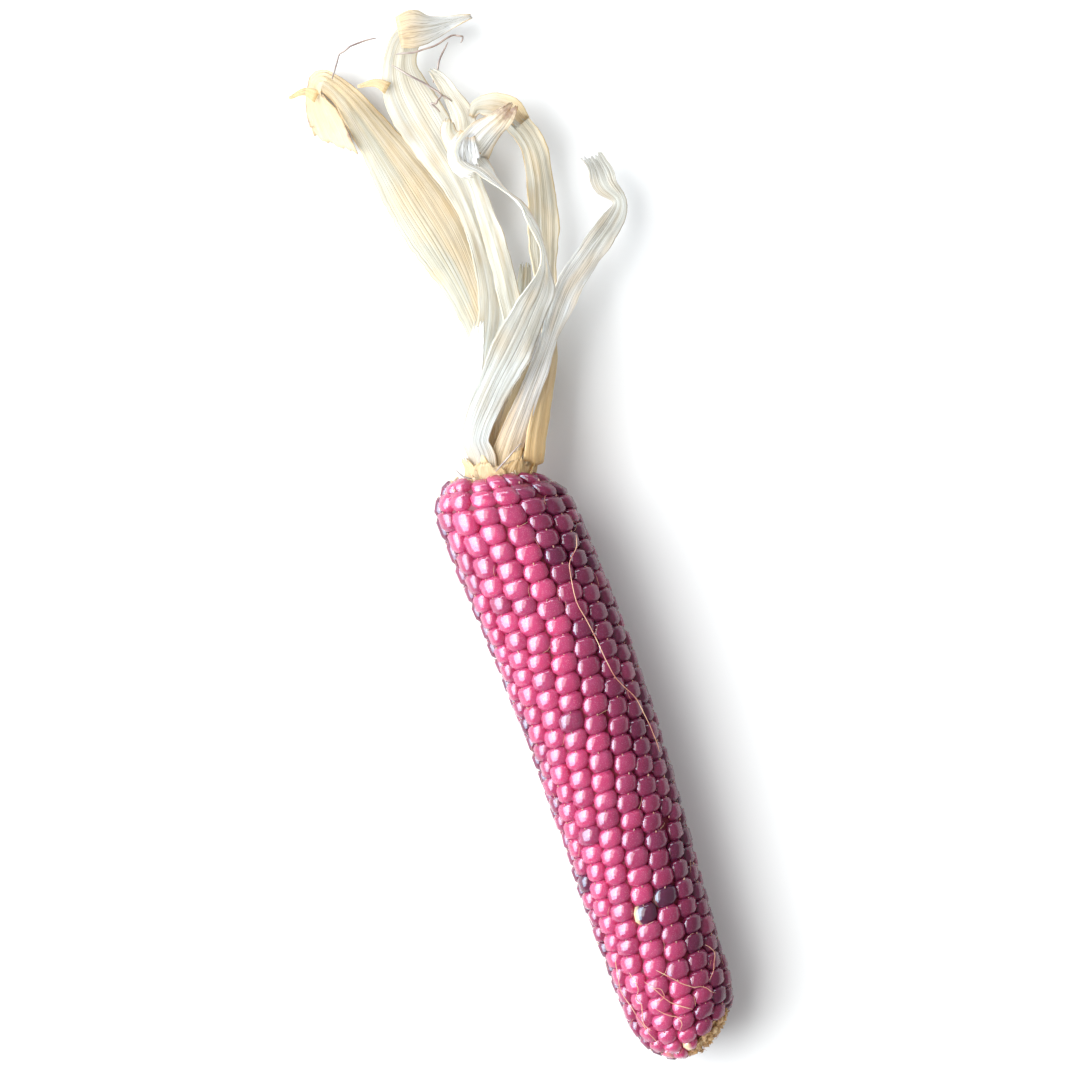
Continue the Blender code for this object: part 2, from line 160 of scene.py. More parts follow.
def crown_radius(s):
    return body_radius(s) * rounding(s, TIP_ROUNDING) * rounding(EAR_LENGTH - s, BUTT_ROUNDING)


def round_axis(s, radius, phi):
    """Points at distances s from the tip, at a radius and at an angle from the top towards +Y."""
    bow = BOW * smoothstep(np.abs(s - BOW_CENTRE) / BOW_REACH)
    side = radius * np.sin(phi)
    butt = BUTT_SLANT * smoothstep(1 - (EAR_LENGTH - s) / SLANT_LENGTH)
    tip = TIP_SLANT * smoothstep(1 - s / SLANT_LENGTH)
    x = TIP_X + s + side * (butt - tip)
    return np.stack([x, bow + side, body_radius(s) - SINK + radius * np.cos(phi)], axis=-1)


# %% The crown line, from the tip's pole to the butt's opening
line_s = EAR_LENGTH * (1 - np.cos(math.pi * np.arange(601) / 600)) / 2
line_r = crown_radius(line_s)
last = np.argmax((line_s > EAR_LENGTH / 2) & (line_r < BUTT_OPENING)) + 1
line_s, line_r = line_s[:last], line_r[:last]
line_u = np.concatenate([[0.0], np.cumsum(np.hypot(np.diff(line_s), np.diff(line_r)))])
slope_s = np.gradient(line_s, line_u)
slope_r = np.gradient(line_r, line_u)
EAR_END = line_u[-1]


def on_ear(u, phi, height):
    """Points over the crown line by a height, which is negative inside the ear. Past its ends it runs straight."""
    over = np.maximum(u - EAR_END, 0.0) + np.minimum(u, 0.0)
    along_s, along_r = np.interp(u, line_u, slope_s), np.interp(u, line_u, slope_r)
    s = np.interp(u, line_u, line_s) + over * along_s - height * along_r
    radius = np.interp(u, line_u, line_r) + over * along_r + height * along_s
    return round_axis(s, radius, phi)


print("crown line:", round(EAR_END / MM, 1), "mm")

# %% [markdown]
# ## Where the kernels sit
# Kernels grow in rows that wind round the cob, each row half a kernel off its neighbours. Two rows die out
# towards the tip, where there is less room. A row's share of the way round is its kernels' width, and the
# middle between two kernels of a row is where one ends and the next begins.

# %% Rows and centres
ROWS = 16
PITCH_TIP = 4.75 * MM
PITCH_BUTT = 5.25 * MM
FADING_ROWS = {4: 52 * MM, 11: 74 * MM}
FADE_LENGTH = 26 * MM
TWIST_PER_METRE = 13.5
STRAIGHT_BUTT = 48 * MM
ROW_PHASE = math.radians(6.0)
ODD_ROW_START = 0.02
EVEN_ROW_START = 0.52
JITTER = 0.42 * MM
BUTT_JITTER = 1.0 * MM
BUTT_JITTER_LENGTH = 24 * MM
BUTT_GROWTH = 2.2 * MM
RIM_FULL = 3.2 * MM
RIM_BARE = 12.5 * MM
BARE_SIDE = math.radians(-62)
KERNEL_SEED = 11
TURN = 2 * math.pi


def rim_length(phi):
    """Where the kernels start at the tip: early all round but on the bare side."""
    return RIM_FULL + RIM_BARE * ((1 + np.cos(phi - BARE_SIDE)) / 2) ** 3


def row_share(row, u):
    return float(smoothstep((u - FADING_ROWS[row]) / FADE_LENGTH + 0.5)) if row in FADING_ROWS else 1.0


def row_place(row, u):
    """The angle of a row's middle at this length, and the share of the way round that it has."""
    shares = [row_share(other, u) for other in range(ROWS)]
    turn = TWIST_PER_METRE * max(0.0, EAR_END - STRAIGHT_BUTT - u)
    phi = ROW_PHASE + turn + TURN * (sum(shares[:row]) + shares[row] / 2) / sum(shares)
    return phi, TURN * shares[row] / sum(shares)


def radius_at(u):
    return float(np.interp(u, line_u, line_r))


def kernel_rows():
    """The centres (u, phi) of each row's kernels, from tip to butt."""
    draw = random.Random(KERNEL_SEED)
    rows = []
    for row in range(ROWS):
        centres = []
        u = RIM_FULL + PITCH_TIP * (ODD_ROW_START if row % 2 else EVEN_ROW_START)
        while u < EAR_END - 0.35 * PITCH_BUTT:
            near_butt = float(smoothstep(1 - (EAR_END - u) / BUTT_JITTER_LENGTH))
            pitch = PITCH_TIP + (PITCH_BUTT - PITCH_TIP) * u / EAR_END + BUTT_GROWTH * near_butt
            phi = row_place(row, u)[0]
            if u > rim_length(phi) + 0.35 * pitch and row_share(row, u) > 0.5:
                spread = JITTER + (BUTT_JITTER - JITTER) * near_butt
                radius = max(radius_at(u), TIP_RADIUS / 2)
                centres.append((u + draw.uniform(-spread, spread), phi + draw.uniform(-spread, spread) / radius))
            u += pitch
        last = EAR_END - draw.uniform(0.7, 2.6) * MM
        if last - centres[-1][0] > 0.6 * pitch:
            centres.append((centres[-1][0] + pitch, centres[-1][1]))
        stretch = last - centres[-1][0]
        rows.append([(u + stretch * float(smoothstep(1 - (EAR_END - u) / (30 * MM))), phi) for u, phi in centres])
    return rows


rows = kernel_rows()
print("kernels:", sum(len(row) for row in rows))

# %% [markdown]
# ## One kernel, then all of them
# A flint kernel is a rounded tooth: a broad, nearly flat crown that rolls over steep shoulders, and a root
# that narrows into the cob. A cube that is subdivided and blown up to a ball has even square faces and no
# pole, so it takes a smooth shade with few faces. The ball is then drawn into each kernel's own outline.

# %% Model one kernel
CUTS = 2
CROWN_FLATNESS = 3.0
SHOULDER_SHARPNESS = 2.3
CROWN_HEIGHT = 3.4 * MM
ROOT_DEPTH = 2.8 * MM

select_nothing()
bpy.ops.mesh.primitive_cube_add(size=2)
kernel = bpy.context.object
bpy.ops.object.mode_set(mode="EDIT")
bpy.ops.mesh.select_all(action="SELECT")
bpy.ops.mesh.subdivide(number_cuts=CUTS)
bpy.ops.transform.tosphere(value=1)
bpy.ops.object.mode_set(mode="OBJECT")
ball = points_of(kernel)
ball /= np.linalg.norm(ball, axis=1, keepdims=True)
ball_angle = np.arctan2(ball[:, 1], ball[:, 0])
ball_reach = np.hypot(ball[:, 0], ball[:, 1])
upper = ball[:, 2] >= -1e-6
reach = np.where(upper, ball_reach ** (2 / CROWN_FLATNESS), ball_reach**1.3)
rise = np.where(upper, np.clip(ball[:, 2], 0, 1) ** (2 / SHOULDER_SHARPNESS) * CROWN_HEIGHT, ball[:, 2] * ROOT_DEPTH)
print("one kernel:", len(kernel.data.polygons), "faces")

# %% [markdown]
# Seen from above, a kernel is a rounded brick. Near the butt the bricks are bigger and come to a soft point
# towards the ear's tip, where the silk once joined them. Each differs a little in height, tilt and colour.

# %% Draw the kernel into every place
SQUARENESS = 3.9
OVERLAP = 0.35 * MM
SIDE_OVERLAP = 0.55 * MM
SHEAR = 0.4
POINT_WIDTH = 0.36
SHAPE_SEED = 23
# Painted side light and shade: where the side facing the lamps lies round the ear, and how far its lighter colour
# reaches and fades.
LIT_SIDE_CLOCK = math.radians(26)
LIT_SIDE_HALF = math.radians(26)
LIT_SIDE_FADE = math.radians(40)


def painted_side_light(phi):
    """Painted side light: kernels facing the lamps are painted a lighter crimson, and round the back they are painted a
    darker plum.
    """
    off = abs((phi - LIT_SIDE_CLOCK + math.pi) % TURN - math.pi)
    return 1 - float(smoothstep((off - LIT_SIDE_HALF) / LIT_SIDE_FADE))


def outline_reach(angle, ahead, behind, side, squareness, pointed):
    """How far a rounded brick reaches from its centre: ahead to the butt, behind to the tip, and sideways."""
    along = np.cos(angle)
    length = np.where(along > 0, ahead, behind)
    reach = (np.abs(along / length) ** squareness + np.abs(np.sin(angle) / side) ** squareness) ** (-1 / squareness)
    off = np.abs(np.angle(np.exp(1j * (angle - math.pi))))
    point = np.exp(-((off / POINT_WIDTH) ** 2))
    cheeks = np.exp(-(((off - 0.95) / 0.45) ** 2))
    return reach * (1 + pointed * (0.15 * point - 0.13 * cheeks))


draw = random.Random(SHAPE_SEED)
kernel_parts = []
places = []
for row, centres in enumerate(rows):
    for k, (u, phi) in enumerate(centres):
        radius = max(radius_at(u), 4.5 * MM)
        width = row_place(row, u)[1] * radius
        before = centres[k - 1][0] if k else u - PITCH_TIP * 1.05
        after = centres[k + 1][0] if k + 1 < len(centres) else u + PITCH_BUTT
        near_butt = float(smoothstep(1 - (EAR_END - u) / BUTT_JITTER_LENGTH))
        near_tip = float(smoothstep(1 - u / (24 * MM)))
        side = width / 2 * (1 + draw.uniform(-0.06, 0.06) * (1 + near_butt)) + SIDE_OVERLAP * (1 + 0.7 * near_butt)
        ahead = (after - u) / 2 + OVERLAP
        behind = (u - before) / 2 + OVERLAP
        squareness = SQUARENESS * draw.uniform(0.85, 1.15) * (1 - 0.12 * max(near_butt, near_tip))
        pointed = draw.uniform(0.0, 0.45) + 1.1 * near_butt + 0.3 * near_tip
        shape = (ahead, behind, side, squareness, pointed)
        outline = outline_reach(ball_angle, *shape)
        along = reach * outline * np.cos(ball_angle)
        across = reach * outline * np.sin(ball_angle)
        lift = draw.uniform(-0.25 - 0.25 * near_butt, 0.16 + 0.2 * near_butt) * MM
        tilt_u, tilt_w = draw.gauss(0, 0.045), draw.gauss(0, 0.045)
        height = rise - CROWN_HEIGHT + lift + (tilt_u * along + tilt_w * across) * (rise > 0)
        lean = 0.0 if u > EAR_END - STRAIGHT_BUTT else -TWIST_PER_METRE
        points = on_ear(u + along, phi + SHEAR * lean * along + across / radius, height)
        points[:, 2] = np.maximum(points[:, 2], 0.0)
        part = copy_of(kernel, points)
        depth = np.clip(1 - rise / CROWN_HEIGHT, 0, 1)
        # The tint holds the painted side light, plus a random tone of each kernel's own.
        tint = min(1, max(0, 0.74 * painted_side_light(phi) + draw.gauss(0.13, 0.10)))
        plum = min(1, max(0, draw.gauss(0.5, 0.25)))
        paint(part, "kernel_tint", [(tint, plum, d, 1.0) for d in depth])
        paint(part, "kernel_patch", [(0.0, 0.0, 0.0, 1.0)] * len(depth))
        kernel_parts.append(part)
        places.append((u, phi % TURN, radius, lean, lift, shape))
bpy.data.objects.remove(kernel)


# %% [markdown]
# ## Odd kernels
# A few kernels on any open-pollinated ear come out slate grey, or half bare of colour. Each is named by its
# place on the ear, and the nearest kernel is repainted.

# %% Repaint the odd ones
def nearest_kernel(s_mm, clock):
    """Index of the kernel nearest to a distance from the tip and an angle from the top, in degrees."""
    target = math.radians(clock)

    def distance(index):
        u, phi, radius = places[index][:3]
        s = float(np.interp(u, line_u, line_s))
        return math.hypot(s - s_mm * MM, abs((phi - target + math.pi) % TURN - math.pi) * radius)

    return min(range(len(places)), key=distance)


ODD_KERNELS = (
    # distance from the tip in mm, clock angle, slate share, cream share, which side the cream is on
    (41.8, 4, 0.9, 0.9, 1),
    (46.5, -25, 0.85, 0.35, 1),
    (54.6, 72, 0.75, 0.6, 1),
    (98.0, 9, 0.4, 0.2, 1),
    (4.6, 12, 0.0, 1.0, 1),
    (5.4, 50, 0.0, 0.45, -1),
    (132.0, 50, 0.35, 0.0, 1),
    (70.0, -95, 0.8, 0.0, 1),
    (90.0, 150, 0.7, 0.3, 1),
    (118.0, -140, 0.8, 0.4, -1),
)
for s_mm, clock, slate, cream, side in ODD_KERNELS:
    index = nearest_kernel(s_mm, clock)
    part = kernel_parts[index]
    half = np.clip(side * ball[:, 1] * 1.7 + (-0.2 if slate else 0.4), 0, 1)
    layer = part.data.attributes["kernel_patch"]
    values = np.stack([np.full(len(half), slate), cream * half, half * 0, half * 0 + 1], axis=-1)
    layer.data.foreach_set("color", values.ravel())

kernels = join_all(kernel_parts, "kernel_rows")


# %% [markdown]
# ## Placing small things
# Scars, crumbs and scales are all a millimetre or so, so each is set rigidly on the ear: at a point of its
# surface, with one axis along the ear, one across it and one straight out. The frame comes from three nearby
# points, so it also works where the ear rounds over at its ends.

# %% A frame on the ear
def frame_on_ear(u, phi, height):
    """The point, and the directions along, across and out of the ear there."""
    step = 0.05 * MM
    here = on_ear(u, phi, height)
    along = on_ear(u + step, phi, height) - here
    along /= np.linalg.norm(along)
    outward = on_ear(u, phi, height + step) - here
    outward /= np.linalg.norm(outward)
    return here, along, np.cross(outward, along), outward


def turned(points, spin, tip_up):
    """Points turned about the outward axis, after being tipped up from lying along the ear."""
    c, s = math.cos(tip_up), math.sin(tip_up)
    tipped = np.stack([points[:, 0] * c - points[:, 2] * s, points[:, 1], points[:, 0] * s + points[:, 2] * c], 1)
    c, s = math.cos(spin), math.sin(spin)
    return np.stack([tipped[:, 0] * c - tipped[:, 1] * s, tipped[:, 0] * s + tipped[:, 1] * c, tipped[:, 2]], 1)


def set_on_ear(points, u, phi, height):
    here, along, across, outward = frame_on_ear(u, phi, height)
    placed = here + points[:, :1] * along + points[:, 1:2] * across + points[:, 2:] * outward
    placed[:, 2] = np.maximum(placed[:, 2], 0.0)
    return placed


# %% [markdown]
# ## Silk scars
# A thread of silk grew from each kernel, on the edge that faces the ear's tip, and leaves a pale dry point
# there. One low-faced ball is drawn out to a nub and copied to the kernels.

# %% Model one scar and copy it
SCAR_SEED = 31
SCAR_SHARE = 0.86

select_nothing()
bpy.ops.mesh.primitive_ico_sphere_add(subdivisions=1, radius=1)
scar = bpy.context.object
nub = points_of(scar)
draw = random.Random(SCAR_SEED)
scars = []
for u, phi, radius, lean, lift, shape in places:
    if draw.random() > SCAR_SHARE:
        continue
    ahead, behind, side, squareness, pointed = shape
    size = draw.uniform(0.14, 0.30) * MM
    form = nub * np.array([size * draw.uniform(1.2, 2.0), size * 0.8, size * 0.75])
    back = behind * (0.93 + 0.1 * min(pointed, 1.0))
    off = draw.uniform(-0.35, 0.35) * MM
    form = turned(form, draw.uniform(-0.5, 0.5), math.radians(draw.uniform(15, 45)))
    scars.append(copy_of(scar, set_on_ear(form, u - back, phi - lean * back + off / radius, lift - 0.75 * MM)))
bpy.data.objects.remove(scar)
scars = join_all(scars, "silk_scars")

# %% [markdown]
# ## The cob
# The cob is a woody spindle with a red, papery rind that shows as the colour deep in the grooves. Only its tip
# is bare. A ball is drawn out along the ear a few millimetres under the kernels' crowns, and roughened where it
# is bare. The shank behind it carries the husk.

# %% Model the cob
COB_DEPTH = 2.4 * MM
BARE_DEPTH = 3.0 * MM
BUTT_REACH = 9.5 * MM

select_nothing()
bpy.ops.mesh.primitive_uv_sphere_add(segments=96, ring_count=150, radius=1)
cob = bpy.context.object
ball_points = points_of(cob)
cob_phi = np.arctan2(ball_points[:, 1], ball_points[:, 0])
cob_u = (1 - np.arccos(np.clip(ball_points[:, 2], -1, 1)) / math.pi) * (EAR_END + BUTT_REACH)
bare = smoothstep((rim_length(cob_phi) + 1.2 * MM - cob_u) / (2.4 * MM))
body_u = np.minimum(cob_u, EAR_END)
rough = np.array([noise.noise(Vector(on_ear(u, phi, 0.0)) / (1.3 * MM)) for u, phi in zip(body_u, cob_phi)])
depth = COB_DEPTH + (BARE_DEPTH - COB_DEPTH) * bare - 0.55 * MM * rough * (0.25 + 0.75 * bare)
cob_points = on_ear(body_u, cob_phi, -depth)
past = np.clip((cob_u - EAR_END) / BUTT_REACH, 0, 1)[:, None]
butt_centre = round_axis(np.array([EAR_LENGTH - 2 * MM]), np.zeros(1), np.zeros(1))
cob_points = cob_points * (1 - past) + butt_centre * past
cob_points[:, 2] = np.maximum(cob_points[:, 2], 0.0)
set_points(cob, cob_points)
paint(cob, "cob_tone", np.stack([bare, past[:, 0], (rough + 1) / 2, np.ones(len(bare))], axis=1))

# %% [markdown]
# The shank is a short stalk, turned a little aside, that the husk leaves grow from. A cylinder gives it, with
# its rings moved along the bend.

# %% Model the shank
SHANK_START = 163 * MM
SHANK_OFFSET = -1.4 * MM
SHANK_RADIUS = 6.3 * MM
SHANK_LENGTH = 9 * MM
SHANK_TURN = math.radians(-20)


def shank_frame(distance):
    """A point on the shank's centre line, and its direction there."""
    start = Vector(round_axis(SHANK_START, 0.0, 0.0)) + Vector((0.0, SHANK_OFFSET, 0.0))
    turned_by = SHANK_TURN * float(smoothstep(0.5 + distance / (8 * MM)))
    lean = Vector((math.cos(SHANK_TURN), math.sin(SHANK_TURN), 0.0))
    return start + lean * distance, Vector((math.cos(turned_by), math.sin(turned_by), 0.0))


select_nothing()
bpy.ops.mesh.primitive_cylinder_add(vertices=40, radius=1, depth=1)
shank = bpy.context.object
bpy.ops.object.mode_set(mode="EDIT")
bpy.ops.mesh.select_all(action="SELECT")
bpy.ops.mesh.bisect(plane_co=(0, 0, 0), plane_no=(0, 0, 1))
bpy.ops.object.mode_set(mode="OBJECT")
shank_points = points_of(shank)
for k, (x, y, z) in enumerate(shank_points.copy()):
    centre, direction = shank_frame((z + 0.5) * (SHANK_LENGTH + 1 * MM) - 2 * MM)
    out = Vector((-direction.y, direction.x, 0)) * x + Vector((0, 0, 1)) * y
    shank_points[k] = centre + out * (SHANK_RADIUS - 0.4 * MM * abs(math.sin(9 * math.atan2(y, x))) ** 2)
set_points(shank, shank_points)
paint(shank, "cob_tone", [(0.6, 1.0, 0.5, 1.0)] * len(shank_points))
cob = join_all([cob, shank], "cob_wood")

# %% [markdown]
# ## Chaff
# Where kernels are missing, the cob keeps the dry scales and crumbs that once held them: golden at the bare
# tip, and pale and fluffy round the butt. One cupped scale and one crumb are modelled, then scattered.

# %% Model a scale and a crumb
select_nothing()
bpy.ops.mesh.primitive_grid_add(x_subdivisions=3, y_subdivisions=3, size=2)
scale = bpy.context.object
flat = points_of(scale)
narrow = 0.55 + 0.45 * np.cos(flat[:, 0] * 1.1 - 0.35)
scale_form = np.stack([flat[:, 0], flat[:, 1] * narrow * 0.8, 0.45 * flat[:, 1] ** 2 + 0.18 * flat[:, 0] ** 2], 1)
set_points(scale, scale_form)
solid = scale.modifiers.new("thickness", "SOLIDIFY")
solid.thickness = 0.14
solid.offset = 0.0
apply_modifiers(scale)
scale_form = points_of(scale)

select_nothing()
bpy.ops.mesh.primitive_ico_sphere_add(subdivisions=1, radius=1)
crumb = bpy.context.object
crumb_form = points_of(crumb)
print("one scale:", len(scale.data.polygons), "faces")

# %% Scatter them over the bare tip and round the butt
CHAFF_SEED = 47
TIP_SCALES, TIP_CRUMBS = 60, 150
BUTT_SCALES, BUTT_CRUMBS = 40, 26


def scatter(model, form, count, draw, place, size, tipped, shade):
    """Copies of a small form; `place` draws the spot on the ear that each is set on."""
    made = []
    while len(made) < count:
        spot = place(draw)
        if spot is None:
            continue
        grow = draw.uniform(*size) * MM
        rough_form = form * np.array([grow * draw.uniform(0.9, 1.5), grow * draw.uniform(0.6, 1.0), grow])
        rough_form = rough_form + np.array([[draw.gauss(0, 0.06) * grow for _ in range(3)] for _ in form])
        rough_form = turned(rough_form, draw.uniform(-math.pi, math.pi), math.radians(draw.uniform(*tipped)))
        part = copy_of(model, set_on_ear(rough_form, *spot))
        paint(part, "chaff_tone", [(draw.uniform(0, 1), shade, draw.uniform(0, 1), 1.0)] * len(form))
        made.append(part)
    return made


def bare_spot(draw):
    """A spot on the bare tip, or none where kernels stand."""
    u, phi = draw.uniform(0.2, 16.5) * MM, draw.uniform(0, TURN)
    if u > rim_length(phi) + 0.9 * MM or draw.random() > (u + 1.5 * MM) / (9 * MM):
        return None
    return u, phi, draw.uniform(-2.9, -1.5) * MM


def butt_spot(draw):
    return EAR_END + draw.uniform(-0.6, 1.8) * MM, draw.uniform(0, TURN), draw.uniform(-2.2, -0.6) * MM


draw = random.Random(CHAFF_SEED)
chaff = scatter(scale, scale_form, TIP_SCALES, draw, bare_spot, (0.6, 1.2), (0, 35), 0.0)
chaff += scatter(crumb, crumb_form, TIP_CRUMBS, draw, bare_spot, (0.45, 1.15), (0, 90), 0.0)
chaff += scatter(scale, scale_form, BUTT_SCALES, draw, butt_spot, (0.6, 1.15), (10, 80), 1.0)
chaff += scatter(crumb, crumb_form, BUTT_CRUMBS, draw, butt_spot, (0.2, 0.5), (0, 90), 1.0)
bpy.data.objects.remove(scale)
bpy.data.objects.remove(crumb)
chaff = join_all(chaff, "chaff")

# %% [markdown]
# ## Husk leaves
# A dried husk leaf is a thin, ribbed ribbon that was wrapped round the ear and has been pulled back, so it
# twists, cups and frays. Each is a flat grid bent along a line of stations: a place, a width, a roll and a cup.
# Its ribs, ripples and ragged edges come from waves and noise laid over that form, and Solidify gives it body.

# %% Stations on a smooth line
LEAF_STEP = 1.3 * MM
LEAF_CELLS = 18
LEAF_THICKNESS = 0.22 * MM
INNER_RING = 7.35
OUTER_RING = 8.7
ROOT_DISTANCES = (0.6 * MM, 3.3 * MM, 7.3 * MM)


def smooth_rows(rows, steps):
    """Rows of numbers read off a smooth curve through the given rows, evenly by length in x, y, z."""
    at = [0.0]
    for row, after in zip(rows, rows[1:]):
        at.append(at[-1] + max(1e-6, math.dist(row[:3], after[:3])))
    rows, at = np.array(rows, dtype=float), np.array(at)
    before, after = np.maximum(np.arange(len(rows)) - 1, 0), np.minimum(np.arange(len(rows)) + 1, len(rows) - 1)
    slopes = (rows[after] - rows[before]) / (at[after] - at[before])[:, None]
    length = at[-1] * np.arange(steps + 1) / steps
    part = np.clip(np.searchsorted(at, length, side="right") - 1, 0, len(rows) - 2)
    span = (at[part + 1] - at[part])[:, None]
    t = (length - at[part])[:, None] / span
    return (
        (2 * t**3 - 3 * t**2 + 1) * rows[part]
        + (t**3 - 2 * t**2 + t) * span * slopes[part]
        + (3 * t**2 - 2 * t**3) * rows[part + 1]
        + (t**3 - t**2) * span * slopes[part + 1]
    )


def carried_normals(points):
    """Unit tangents, and normals that start upright and are carried along with no twist of their own."""
    points = [Vector(point) for point in points]
    tangents = []
    for i in range(len(points)):
        before, after = max(0, i - 1), min(len(points) - 1, i + 1)
        tangents.append((points[after] - points[before]).normalized())
    normal = Vector((0, 0, 1))
    normal = (normal - tangents[0] * normal.dot(tangents[0])).normalized()
    normals = [normal]
    for first, second in zip(tangents, tangents[1:]):
        normal = first.rotation_difference(second) @ normal
        normal = (normal - second * normal.dot(second)).normalized()
        normals.append(normal)
    return np.array(tangents), np.array(normals)


def root_stations(ring_radius, clock, width):
    """A leaf's first stations, wrapped on the shank at a clock angle from the top towards +Y."""
    stations = []
    for distance in ROOT_DISTANCES:
        centre, direction = shank_frame(distance)
        side = Vector((-direction.y, direction.x, 0.0))
        out = side * math.sin(math.radians(clock)) + Vector((0, 0, 1)) * math.cos(math.radians(clock))
        place = (centre + out * ring_radius * MM) / MM
        stations.append((*place, width, clock, math.degrees(width / ring_radius)))
    return stations


# %% One leaf
def noise_at(x, y, seed):
    return noise.noise(Vector((x, y, seed * 7.31)))


def husk_leaf(
    name, stations, seed, ruffle=0.6, ribs=3.0, curl=0.5, fray=1.5, brown_tip=0.0, brown_edge=0.0, warm_length=42.0,
    golden_side=0.0, scorched=0.90, slant=0.0, painted_shade=((0.0, 0.3), (1.0, 0.3))
):
    """A leaf along stations of x, y, z and width in mm, then roll and cup in degrees; the last argument is the painted
    shade along it.
    """
    stretch = sum(math.dist(a[:3], b[:3]) for a, b in zip(stations, stations[1:])) * MM
    steps = round(stretch / LEAF_STEP)
    rows = smooth_rows(stations, steps)
    middle = rows[:, :3] * MM
    tangents, normals = carried_normals(middle)
    select_nothing()
    bpy.ops.mesh.primitive_grid_add(x_subdivisions=LEAF_CELLS, y_subdivisions=steps, size=2)
    leaf = bpy.context.object
    leaf.name = name
    grid = points_of(leaf)
    points, tone, painted_shade_values = [], [], []
    for across, height, _ in grid:
        share = (height + 1) / 2
        end = smoothstep((share - 0.9) / 0.1)
        torn = fray * MM * end * abs(noise_at(across * 3.1, 4.0, seed)) * 2.2 / stretch
        torn += slant * MM * end * (1 + across) / 2 / stretch
        step = min(max(share - torn, 0.0), 1.0) * steps
        low = min(int(step), steps - 1)
        part = step - low
        row = rows[low] * (1 - part) + rows[low + 1] * part
        run = share * stretch / MM
        free = float(smoothstep((share - 0.10) / 0.2))
        edge_noise = noise_at(run / 5.0, 11.0 + np.sign(across), seed) + 0.5 * noise_at(run / 1.7, 3.0, seed)
        width = max(0.8, row[3]) * MM * (1 + 0.09 * edge_noise * abs(across) ** 3 * free)
        roll, cup = math.radians(row[4]), math.radians(row[5])
        tangent = tangents[low] * (1 - part) + tangents[low + 1] * part
        carried = normals[low] * (1 - part) + normals[low + 1] * part
        normal = carried * math.cos(roll) + np.cross(carried, tangent) * math.sin(roll)
        sideways = np.cross(normal, tangent)
        turn = across * cup / 2
        flat_cup = abs(cup) < 1e-3
        over = width / 2 * across if flat_cup else width / cup * math.sin(turn)
        down = 0.0 if flat_cup else width / cup * (1 - math.cos(turn))
        outward = normal * math.cos(turn) + sideways * math.sin(turn)
        wave = ruffle * free * across * abs(across) * math.sin(TURN * run / 21 + seed + across)
        wave += 0.5 * ruffle * free * noise_at(run / 6.5, across * 1.1, seed)
        wave += 0.20 * free * noise_at(run / 2.4, across * 4.0, seed + 2)
        wave += 0.11 * min(1.0, width / (6 * MM)) * math.cos(ribs * math.pi * across + 1.2 * noise_at(run / 14, 0, seed))
        wave += 0.035 * math.cos(3.1 * ribs * math.pi * across + seed)
        wave += curl * free * abs(across) ** 5 * (0.4 + noise_at(run / 8, 20.0 + np.sign(across), seed))
        place = middle[low] * (1 - part) + middle[low + 1] * part + sideways * over - normal * down
        points.append(place + outward * wave * MM)
        warm = float(smoothstep(1 - run / warm_length))
        warm = max(warm, golden_side * float(smoothstep(0.5 + across * 4)) * float(smoothstep((share - 0.15) / 0.2)))
        streak = 0.5 + 0.5 * noise_at(across * 9, run / 30, seed + 5)
        brown = brown_tip * float(smoothstep((share - scorched) / 0.1)) * (0.35 + 0.9 * streak)
        brown += brown_edge * abs(across) ** 8 * float(smoothstep((share - 0.35) / 0.4))
        tone.append((warm, min(1.0, brown), 0.5 + 0.5 * noise_at(run / 9, across * 1.5, seed + 9), 1.0))
        # Painted shade along the leaf: given stretches are darkened.
        painted_shade_values.append((float(np.interp(share, *zip(*painted_shade))), 0.0, 0.0, 1.0))
    points = np.array(points)
    points[:, 2] = np.maximum(points[:, 2], 0.2 * MM)
    set_points(leaf, points)
    paint(leaf, "husk_tone", tone)
    paint(leaf, "husk_painted_shade", painted_shade_values)
    solid = leaf.modifiers.new("thickness", "SOLIDIFY")
    solid.thickness = LEAF_THICKNESS
    solid.offset = 0.0
    apply_modifiers(leaf)
    return leaf


# %% [markdown]
# The husk has eight leaves of its own length and course. The pale ones stood outermost and bleached, and the
# tan ones lay against the ear. A station is x, y, z and width in mm, then roll and cup in degrees.

